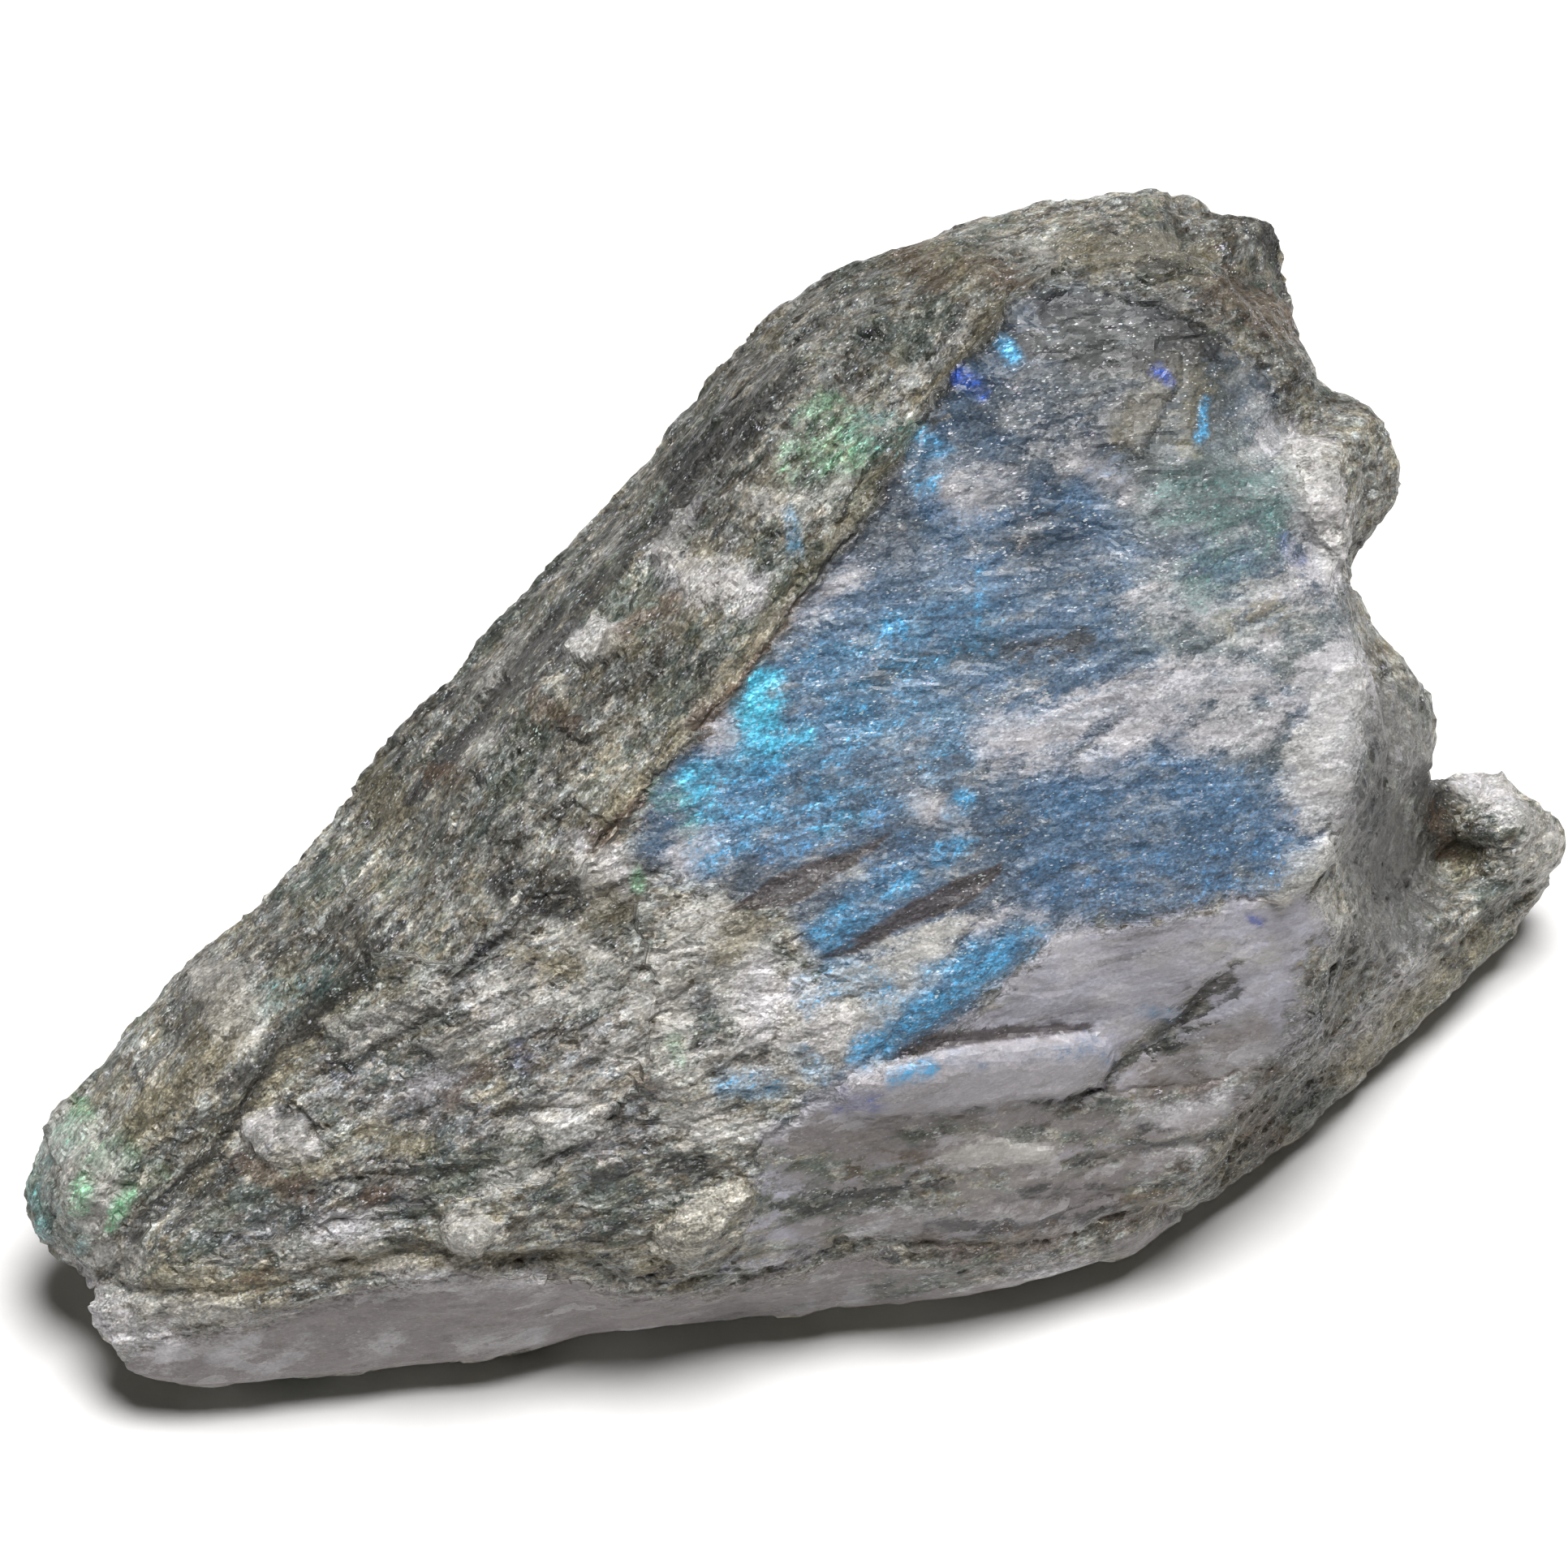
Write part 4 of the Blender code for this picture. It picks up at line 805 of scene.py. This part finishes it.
def store_finishes(mesh, seen, straight, front):
    """Keep how deep each point lies in each finish, and its painted sheen flashes."""
    depths = {name: depth_in_patches(seen, patches) for name, patches in PATCHES.items()}
    for name, outline in (("face", FACE), ("flank", FLANK), ("slab_side", SLAB_SIDE)):
        depths[name] = depth_inside(seen, outline)
    depths["ledge"] = depth_inside(straight, LEDGE)
    depths["lenses_and_ledge_shadow"] = np.max([depth_inside(straight, outline) for outline in LENSES_AND_LEDGE_SHADOW], axis=0)
    depths["crystals"] = np.max([depth_inside(seen, outline) for outline, _, _ in PLATES[1:]], axis=0)
    for name, depth in depths.items():
        store(mesh, name, hidden(depth, front))
    painted_sheen_flashes = mesh.attributes.new("painted_sheen", "FLOAT_COLOR", "POINT")
    painted_sheen_flashes.data.foreach_set("color", painted_sheen_colours(seen, front).astype(np.float32).ravel())


def build_stone(shape):
    """The stone's mesh: the solid made even, made finer on the front and broken up."""
    mesh = even_copy(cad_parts[NODE], shape.mesh_size)
    mesh.name = "labradorite_stone"
    soften_ridges(mesh)
    finer_front(mesh)
    places, normals = vertex_arrays(mesh)
    square, straight = on_drawing(places)
    front = ramp(normals @ np.array(FACE_NORMAL), *SHOWING)
    wander = np.column_stack([soft_noise(square + shift, WIDE_WANDER) for shift in (0.0, 31.0)])
    wander += 0.5 * np.column_stack([soft_noise(square + shift, FINE_WANDER) for shift in (7.0, 53.0)])
    seen = straight + wander * shape.wobble / MM
    angles, rough = grain_and_roughness(seen, front)
    height = break_up(shape, square, seen, front, angles, rough)
    height *= evenness(mesh, normals, BREAKING_LIMITS)
    places = places + normals * height[:, None] * MM
    places[:, 2] = np.maximum(places[:, 2], 0.0)
    mesh.vertices.foreach_set("co", places.ravel())
    mesh.update()
    store_finishes(mesh, seen, straight, front)
    for name, values in (("grain_angle", angles), ("roughness", rough), ("front", front)):
        store(mesh, name, values)
    return mesh


# --- The finish -----------------------------------------------------------------------------------
# How each finish fades out at the edges of its patches: (softness in millimetres, raggedness, fullness).
EDGES = {
    "face": (0.5, 0.9, 0.88),
    "face_blue_sheen": (0.9, 1.6, 0.8),
    "grey_face": (1.2, 1.8, 0.85),
    "flank": (0.30, 1.2, 1.0),
    "low_flank": (0.6, 1.0, 1.0),
    "slab_side": (0.25, 1.0, 1.0),
    "side": (0.6, 1.3, 0.75),
    "bare": (0.25, 1.1, 1.0),
    "violet": (1.1, 1.6, 0.95),
    "sugary": (0.50, 1.5, 0.85),
    "milky": (0.50, 1.4, 0.92),
    "olive": (0.30, 1.2, 0.58),
    "shade": (0.16, 0.9, 0.80),
    "iron": (0.20, 1.2, 0.62),
    "lenses_and_ledge_shadow": (0.07, 0.22, 0.85),
    "ledge": (0.10, 0.20, 0.55),
    "crystals": (0.12, 0.35, 0.40),
    "dim_and_shade": (1.0, 1.6, 1.0),
}
# The dim places darken the colour: partly darker rock, partly painted shade.
DIM_AND_SHADE_STOPS = 1.12                            # how much darker the dim places are
# How much places are shortened along the grain for each kind of mark; the less, the longer the mark.
BANDS = 0.10
FIBRES = 0.13
STREAKS = 0.22
SHARDS = 0.40
DASHES = 0.42
GRAINS = 0.62
RAGGED_MIDDLE = 1.855                       # what the ragged noise comes to on average
HATCH_ANGLE = math.radians(-64.0)           # lie of the lines that tile the flashes
TILE_SIZE = 0.26                            # millimetres between those lines
WHOLE_DEGREE = math.radians(1.0)
REFRACTION = 1.56


class Finish:
    """Adds and links the nodes of one material."""

    def __init__(self, name):
        self.material = bpy.data.materials.new(name)
        self.material.use_nodes = True
        self.tree = self.material.node_tree
        self.shader = self.tree.nodes["Principled BSDF"]

    def feed(self, socket, value):
        """Link a socket, or set its value; a plain colour is made opaque."""
        if isinstance(value, bpy.types.NodeSocket):
            self.tree.links.new(value, socket)
        elif socket.type == "RGBA":
            socket.default_value = (*value[:3], 1.0)
        else:
            socket.default_value = value

    def shade(self, inputs):
        """Feed the shader's inputs."""
        for name, value in inputs.items():
            self.feed(self.shader.inputs[name], value)

    def node(self, kind, inputs, **settings):
        """A new node with its inputs fed and its settings made."""
        made = self.tree.nodes.new("ShaderNode" + kind)
        for name, value in settings.items():
            setattr(made, name, value)
        for key, value in inputs.items():
            self.feed(made.inputs[key], value)
        return made

    def math(self, operation, first, second=0.0, third=0.0, clamp=False):
        """A Math node's result."""
        inputs = {0: first, 1: second, 2: third}
        return self.node("Math", inputs, operation=operation, use_clamp=clamp).outputs[0]

    def product(self, first, *others):
        """Numbers multiplied."""
        for other in others:
            first = self.math("MULTIPLY", first, other)
        return first

    def largest(self, first, *others):
        """The largest of some numbers."""
        for other in others:
            first = self.math("MAXIMUM", first, other)
        return first

    def weighted(self, first, *others):
        """The sum of (number, weight) pairs."""
        total = self.math("MULTIPLY", *first)
        for number, weight in others:
            total = self.math("MULTIPLY_ADD", number, weight, total)
        return total

    def spread(self, value, low, high, to_low=0.0, to_high=1.0):
        """A number brought from one range to another and kept in it."""
        inputs = {0: value, 1: low, 2: high, 3: to_low, 4: to_high}
        return self.node("MapRange", inputs, clamp=True).outputs[0]

    def vector(self, operation, first, second):
        """A Vector Math node's result."""
        return self.node("VectorMath", {0: first, 1: second}, operation=operation).outputs[0]

    def scaled(self, vector, factor):
        """A place or colour times a number."""
        return self.node("VectorMath", {0: vector, "Scale": factor}, operation="SCALE").outputs[0]

    def turned(self, vector, axis, angle):
        """A place turned about one axis."""
        inputs = {"Vector": vector, "Angle": angle}
        return self.node("VectorRotate", inputs, rotation_type=axis).outputs[0]

    def mix(self, share, first, second, blend="MIX"):
        """Two colours mixed."""
        inputs = {0: share, 6: first, 7: second}
        return self.node("Mix", inputs, data_type="RGBA", blend_type=blend, clamp_factor=True).outputs[2]

    def stored(self, name):
        """A number kept on the mesh."""
        return self.node("Attribute", {}, attribute_name=name).outputs["Fac"]

    def noise(self, vector, size, octaves, roughness):
        """Noise of a size in millimetres."""
        inputs = {"Vector": vector, "Scale": 1.0 / size, "Detail": octaves, "Roughness": roughness}
        return self.node("TexNoise", inputs).outputs["Fac"]

    def cells(self, vector, size):
        """Cells of a size in millimetres, each of a colour of its own."""
        return self.node("TexVoronoi", {"Vector": vector, "Scale": 1.0 / size}).outputs["Color"]

    def parts(self, colour):
        """The red, green and blue of a colour."""
        return self.node("SeparateColor", {0: colour}).outputs


class StoneNodes(Finish):
    """The nodes of the broken feldspar. Each step lays its tints over the colour so far."""

    def __init__(self, name, look):
        super().__init__(name)
        self.look = look
        speck_width, fleck_width, fray_width = (
            size / MM for size in (look.speck_size, look.fleck_size, look.fray_size)
        )
        place = self.node("TexCoord", {}).outputs["Object"]
        self.square = self.scaled(self.turned(place, "X_AXIS", -FACE_TILT), 1.0 / MM)
        angle = self.math("ADD", self.stored("grain_angle"), WHOLE_DEGREE / 2.0)
        angle = self.product(self.math("SNAP", angle, WHOLE_DEGREE), -1.0)
        self.grained = self.turned(self.square, "Z_AXIS", angle)
        self.grains = self.drawn_out(self.grained, GRAINS)
        self.rough = self.stored("roughness")

        self.dust = self.noise(self.grains, 1.1 * speck_width, 2.0, 0.6)
        self.streak = self.noise(self.drawn_out(self.grained, STREAKS), 1.6 * speck_width, 3.0, 0.6)
        self.crumb = self.noise(self.grains, 1.6 * fleck_width, 5.0, 0.65)
        self.fibre = self.noise(self.drawn_out(self.grained, FIBRES), 1.5 * fleck_width, 4.0, 0.62)
        self.bands = self.noise(self.drawn_out(self.grained, BANDS), 0.9, 4.0, 0.62)
        self.mottle = self.noise(self.grains, 1.9, 6.0, 0.64)
        self.fray = self.noise(self.grains, fray_width, 6.0, 0.7)
        self.pale = self.noise(self.moved((41.0, 3.0, 17.0)), 1.3, 5.0, 0.66)
        self.dark = self.noise(self.moved((5.0, 23.0, 51.0)), 1.0, 5.0, 0.68)
        self.speck_colour = self.cells(self.grains, speck_width)
        self.fleck_colour = self.cells(self.grains, fleck_width)
        self.speck = self.parts(self.speck_colour)
        self.fleck = self.parts(self.fleck_colour)
        self.spark = self.parts(self.cells(self.drawn_out(self.grained, DASHES), 0.58 * speck_width))
        nudge = self.product(self.math("SUBTRACT", self.crumb, 0.5), 1.1)
        shard_place = self.vector("ADD", self.drawn_out(self.grained, SHARDS), nudge)
        self.shard = self.parts(self.cells(shard_place, 0.62 * fray_width))
        ragged = self.weighted(
            (self.streak, 0.5), (self.speck[0], 0.14), (self.fray, 1.7), (self.crumb, 0.6),
            (self.shard[0], 0.55), (self.fleck[0], 0.22),
        )
        self.ragged = self.math("SUBTRACT", ragged, RAGGED_MIDDLE)

    def drawn_out(self, places, shortening):
        """Places shortened along their first axis, so that marks on them come out longer."""
        return self.vector("MULTIPLY", places, (shortening, 1.0, 1.0))

    def moved(self, step):
        """The places of the grains moved, so that one noise gives another pattern."""
        return self.vector("ADD", self.grains, step)

    def zone(self, name, *shares):
        """The share of a finish: nearly full inside its patches, with frayed and grainy edges."""
        soft, reach, fullness = EDGES[name]
        depth = self.math("MULTIPLY_ADD", self.ragged, reach, self.stored(name))
        return self.product(self.spread(depth, -soft, soft), fullness, *shares)

    def lay(self, share, tint, blend="MIX"):
        """Lay a tint over the colour so far."""
        self.colour = self.mix(share, self.colour, tint, blend)

    def brighten(self, stops):
        """Make the colour so far brighter, or darker where the stops are below zero."""
        self.colour = self.scaled(self.colour, self.math("POWER", 2.0, stops))

    def ground(self):
        """Grey, olive and green feldspar with paler and darker places."""
        look = self.look
        grain = self.weighted((self.bands, 0.32), (self.mottle, 0.25), (self.crumb, 0.43))
        self.colour = self.mix(self.spread(grain, 0.42, 0.585), look.ground_dark, look.ground_light)
        broad = self.noise(self.moved((13.0, 7.0, 29.0)), 3.6, 5.0, 0.6)
        self.lay(self.spread(self.mottle, 0.51, 0.58, 0.0, 0.55), look.ground_olive)
        self.lay(self.spread(broad, 0.54, 0.58, 0.0, 0.65), look.ground_green)
        self.lay(self.spread(self.pale, 0.585, 0.625, 0.0, 0.60), look.sugary)
        self.lay(self.spread(self.dark, 0.555, 0.60, 0.0, 0.65), look.shade)
        back = self.math("SUBTRACT", 1.0, self.stored("front"), clamp=True)
        back_milky = self.noise(self.grains, 4.2, 4.0, 0.6)
        back_olive = self.noise(self.moved((37.0, 11.0, 5.0)), 3.4, 4.0, 0.6)
        self.lay(self.product(self.spread(back_milky, 0.58, 0.64), back), look.sugary)
        self.lay(self.product(self.spread(back_olive, 0.58, 0.66), back), look.olive)
        warmth = self.spread(self.math("ADD", self.fleck[2], self.fray), 0.75, 1.25)
        self.lay(1.0, self.mix(warmth, look.warm, look.cool), "MULTIPLY")
        self.lay(self.zone("violet"), look.violet, "MULTIPLY")

    def skins(self):
        """The cleavage face with its broad blue sheen painted in, and the glassy flank, slab and right side;
        the flank's colour is made paler as painted light.
        """
        look = self.look
        self.bare = self.zone("bare")
        unbroken = self.math("SUBTRACT", 1.0, self.bare)
        blue = self.mix(self.zone("face_blue_sheen"), look.steel, look.lake_sheen)
        blue = self.mix(self.zone("grey_face"), blue, look.grey_face)
        face = self.zone("face")
        flank = self.zone("flank", unbroken, self.spread(self.bands, 0.34, 0.48, 0.45, 0.95))
        slab = self.zone("slab_side", unbroken, self.spread(self.bands, 0.30, 0.42, 0.6, 0.95))
        side = self.zone("side")
        self.lay(face, blue)
        self.lay(flank, self.mix(self.zone("low_flank"), look.mauve, look.slab))
        self.lay(slab, look.slab)
        self.lay(side, look.side)
        self.glassy = self.largest(flank, slab, side)
        self.lay(self.product(self.spread(self.shard[2], 0.90, 0.93, 0.0, 0.42), self.glassy), look.milky)
        self.lay(self.product(self.spread(self.pale, 0.52, 0.68, 0.0, 0.42), face), look.sugary)

    def patches(self):
        """Crystals, stains, dark streaks and lenses, with painted shade in cracks, hollows and above the
        ledge, and the dimmer places, which are partly painted shade.
        """
        look = self.look
        cloudy = self.spread(self.pale, 0.34, 0.60, 0.35, 1.0)
        sugary, milky = self.zone("sugary", cloudy), self.zone("milky", cloudy)
        self.lay(sugary, look.sugary)
        self.lay(milky, look.milky)
        tints = {
            "olive": look.olive, "shade": look.shade, "iron": look.iron, "lenses_and_ledge_shadow": look.lens,
            "ledge": look.ledge, "crystals": look.sugary,
        }
        for name, tint in tints.items():
            self.lay(self.zone(name), tint)
        self.clear = self.largest(milky, sugary, self.glassy)
        self.brighten(self.product(self.zone("dim_and_shade"), -DIM_AND_SHADE_STOPS))

    def painted_sheen_flashes(self):
        """Painted sheen: hazy labradorescence flashes with bright lines and tiles in them, laid into the
        colour.
        """
        painted_sheen = self.node("Attribute", {}, attribute_name="painted_sheen")
        amount, tint = painted_sheen.outputs["Alpha"], painted_sheen.outputs["Color"]
        torn = self.product(self.ragged, 0.45, self.spread(amount, 0.0, 0.15))
        amount = self.math("ADD", amount, torn, clamp=True)
        cloud = self.spread(self.math("ADD", self.mottle, self.fray), 0.84, 1.16)
        sheen_haze = self.math("MULTIPLY", amount, self.math("MULTIPLY_ADD", cloud, 0.75, 0.35), clamp=True)
        hatched = self.drawn_out(self.turned(self.square, "Z_AXIS", HATCH_ANGLE), STREAKS)
        hatch = self.noise(hatched, 0.15, 3.0, 0.6)
        inputs = {"Vector": hatched, "Scale": 1.0 / TILE_SIZE, "Randomness": 0.8}
        tiles = self.node("TexVoronoi", inputs, feature="DISTANCE_TO_EDGE").outputs["Distance"]
        lines = self.spread(self.math("ADD", hatch, self.streak), 0.98, 1.28)
        bright = self.math("MULTIPLY_ADD", lines, 0.75, self.math("SUBTRACT", amount, 0.75))
        self.bright = self.product(
            self.spread(bright, 0.0, 0.6),
            self.spread(tiles, 0.02, 0.10, 0.35, 1.0),
            self.spread(cloud, 0.15, 0.6),
        )
        self.lay(self.product(sheen_haze, 0.80), self.scaled(tint, 0.55))
        self.lay(self.product(self.bright, 0.90), tint)

    def light_and_dark(self):
        """Lighter and darker grains, strongest where the stone is roughest."""
        low = self.spread(self.rough, 0.12, 0.25, 0.5, 1.05)
        contrast = self.math("ADD", low, self.spread(self.rough, 0.3, 1.0, 0.0, 0.25))
        contrast = self.product(contrast, self.spread(self.clear, 0.0, 1.0, 1.0, 0.55))
        contrast = self.largest(contrast, self.bare)
        fibrous = self.spread(self.rough, 0.25, 0.8, 0.8, 2.4)
        level = self.weighted(
            (self.dust, 2.1), (self.speck[0], 0.9), (self.crumb, 1.3), (self.streak, 0.7),
            (self.fibre, fibrous), (self.fleck[0], 0.45), (self.shard[1], 0.35),
        )
        middle = self.spread(self.rough, 0.25, 0.8, 3.20, 3.97)
        self.brighten(self.product(self.math("SUBTRACT", level, middle), contrast))

    def glints(self):
        """Painted glints: tiny bright specks laid into the colour in clusters, standing in for light caught
        by cleavage facets.
        """
        clusters = self.spread(self.math("ADD", self.dark, self.crumb), 0.92, 1.14)
        fine = self.spread(self.math("MULTIPLY_ADD", clusters, 0.055, self.spark[2]), 0.985, 1.03)
        coarse = self.product(self.spread(self.speck[2], 0.984, 0.995), self.spread(clusters, 0.5, 1.0))
        few_on_glass = self.spread(self.glassy, 0.0, 1.0, 1.0, 0.25)
        self.painted_glint = self.product(self.largest(fine, coarse), few_on_glass)
        self.lay(self.product(self.painted_glint, 0.58), self.mix(0.2, self.look.painted_sparkle, self.fleck_colour))

    def surface(self):
        """Roughness and the lie of the finest facets."""
        middle = self.look.roughness
        roughness = self.spread(self.fleck[1], 0.0, 1.0, middle - 0.14, middle + 0.14)
        roughness = self.math("MULTIPLY_ADD", self.painted_glint, -0.2, roughness)
        roughness = self.math("MULTIPLY_ADD", self.glassy, -0.05, roughness)
        height = self.math("MULTIPLY_ADD", self.streak, 0.3, self.crumb)
        strength = self.spread(self.rough, 0.12, 1.0, 0.25, 0.8)
        bump = self.node("Bump", {"Height": height, "Distance": 0.06 * MM, "Strength": strength})
        lean = self.vector("SUBTRACT", self.speck_colour, (0.5, 0.5, 0.5))
        lean = self.scaled(lean, self.spread(self.rough, 0.12, 1.0, 0.15, 0.45))
        facing = self.vector("ADD", bump.outputs[0], lean)
        normal = self.node("VectorMath", {0: facing}, operation="NORMALIZE").outputs[0]
        metallic = self.product(self.bright, 0.3)
        self.shade({"Base Color": self.colour, "Roughness": roughness, "Metallic": metallic})
        self.shade({"IOR": REFRACTION, "Specular IOR Level": 0.3, "Normal": normal})


def stone_finish(look):
    """The broken feldspar: ground, skins, crystals, stains, painted shade, painted sheen flashes and painted
    glints.
    """
    stone = StoneNodes("labradorite_broken_surface", look)
    stone.ground()
    stone.skins()
    stone.patches()
    stone.painted_sheen_flashes()
    stone.light_and_dark()
    stone.glints()
    stone.surface()
    return stone.material


def floor_finish(colour):
    """Plain pale board with a faint tooth."""
    finish = Finish("pale_floor")
    place = finish.node("TexCoord", {}).outputs["Object"]
    tooth = finish.spread(finish.noise(finish.scaled(place, 1.0 / MM), 0.8, 3.0, 0.55), 0.3, 0.7)
    dimmer = [value * 0.985 for value in colour]
    tinted = finish.mix(tooth, dimmer, colour)
    finish.shade({"Base Color": tinted, "Roughness": 0.8, "Specular IOR Level": 0.2})
    return finish.material


# --- Operators ------------------------------------------------------------------------------------
ROOM_COLOUR = (1.0, 0.95, 0.92)
SENSOR_WIDTH = 36.0                         # millimetres, as the lens
NEAREST_SEEN = 10.0                         # millimetres from the camera


class LABRADORITE_OT_stone(bpy.types.Operator):
    """Add the broken and finished stone in place of the plain solid."""

    bl_idname = "labradorite.stone"
    bl_label = "Stone"
    bl_options = {"REGISTER", "UNDO"}

    def execute(self, context):
        mesh = build_stone(context.scene.labradorite_shape)
        mesh.materials.append(stone_finish(context.scene.labradorite_finish))
        stone = bpy.data.objects.new("labradorite_stone", mesh)
        context.scene.collection.objects.link(stone)
        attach(stone, "root")
        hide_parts(NODE)
        return {"FINISHED"}


class LABRADORITE_OT_stage(bpy.types.Operator):
    """Add the pale floor, the soft light and the camera."""

    bl_idname = "labradorite.stage"
    bl_label = "Stage"
    bl_options = {"REGISTER", "UNDO"}

    def execute(self, context):
        settings = context.scene.labradorite_stage
        self.add_floor(context, settings)
        self.add_light(context, settings)
        self.add_surroundings(context, settings)
        self.add_camera(context, settings)
        return {"FINISHED"}

    def add_floor(self, context, settings):
        """A level floor under the stone."""
        bpy.ops.mesh.primitive_plane_add(size=settings.floor_size)
        floor = context.object
        floor.name = "pale_floor"
        floor.data.materials.append(floor_finish(settings.floor_colour))

    def add_light(self, context, settings):
        """One broad soft light overhead."""
        light = bpy.data.lights.new("overhead_light", "AREA")
        light.shape = "DISK"
        light.size = settings.light_size
        light.energy = settings.light_power
        lamp = bpy.data.objects.new("overhead_light", light)
        lamp.location = settings.light_place
        lamp.rotation_euler = (-lamp.location).to_track_quat("-Z", "Y").to_euler()
        context.scene.collection.objects.link(lamp)

    def add_surroundings(self, context, settings):
        """A plain white room around the stone."""
        world = bpy.data.worlds.new("white_room")
        world.use_nodes = True
        background = world.node_tree.nodes["Background"]
        background.inputs["Color"].default_value = (*ROOM_COLOUR, 1.0)
        background.inputs["Strength"].default_value = settings.fill
        context.scene.world = world
        context.scene.view_settings.view_transform = "Standard"

    def add_camera(self, context, settings):
        """A long lens square to the cleavage face."""
        aim = Vector(DRAWING_ORIGIN) * MM
        away = Vector(FACE_NORMAL)
        camera = bpy.data.cameras.new("camera")
        camera.lens = settings.lens
        camera.sensor_width = SENSOR_WIDTH
        camera.clip_start = NEAREST_SEEN * MM
        holder = bpy.data.objects.new("camera", camera)
        holder.location = aim + away * settings.camera_distance
        holder.rotation_euler = (-away).to_track_quat("-Z", "Y").to_euler()
        context.scene.collection.objects.link(holder)
        context.scene.camera = holder


class LABRADORITE_PT_panel(bpy.types.Panel):
    """Lists what can be added."""

    bl_idname = "LABRADORITE_PT_panel"
    bl_label = "Labradorite"
    bl_space_type = "VIEW_3D"
    bl_region_type = "UI"
    bl_category = "Labradorite"

    def draw(self, context):
        for operator in OPERATORS:
            self.layout.operator(operator.bl_idname)
        for group_name, group in GROUPS.items():
            column = self.layout.column()
            for name in group.__annotations__:
                column.prop(getattr(context.scene, group_name), name)


GROUPS = {
    "labradorite_shape": StoneShape,
    "labradorite_finish": StoneFinish,
    "labradorite_stage": StageSettings,
}
OPERATORS = (LABRADORITE_OT_stone, LABRADORITE_OT_stage)
CLASSES = (*GROUPS.values(), *OPERATORS, LABRADORITE_PT_panel)


def register():
    """Make the classes and their settings known."""
    for known in CLASSES:
        bpy.utils.register_class(known)
    for name, group in GROUPS.items():
        setattr(bpy.types.Scene, name, bpy.props.PointerProperty(type=group))


def unregister():
    """Take the classes and their settings away."""
    for name in GROUPS:
        delattr(bpy.types.Scene, name)
    for known in reversed(CLASSES):
        bpy.utils.unregister_class(known)


def main():
    """Build the stone and the stage."""
    register()
    bpy.ops.labradorite.stone()
    bpy.ops.labradorite.stage()


if __name__ == "__main__":
    main()
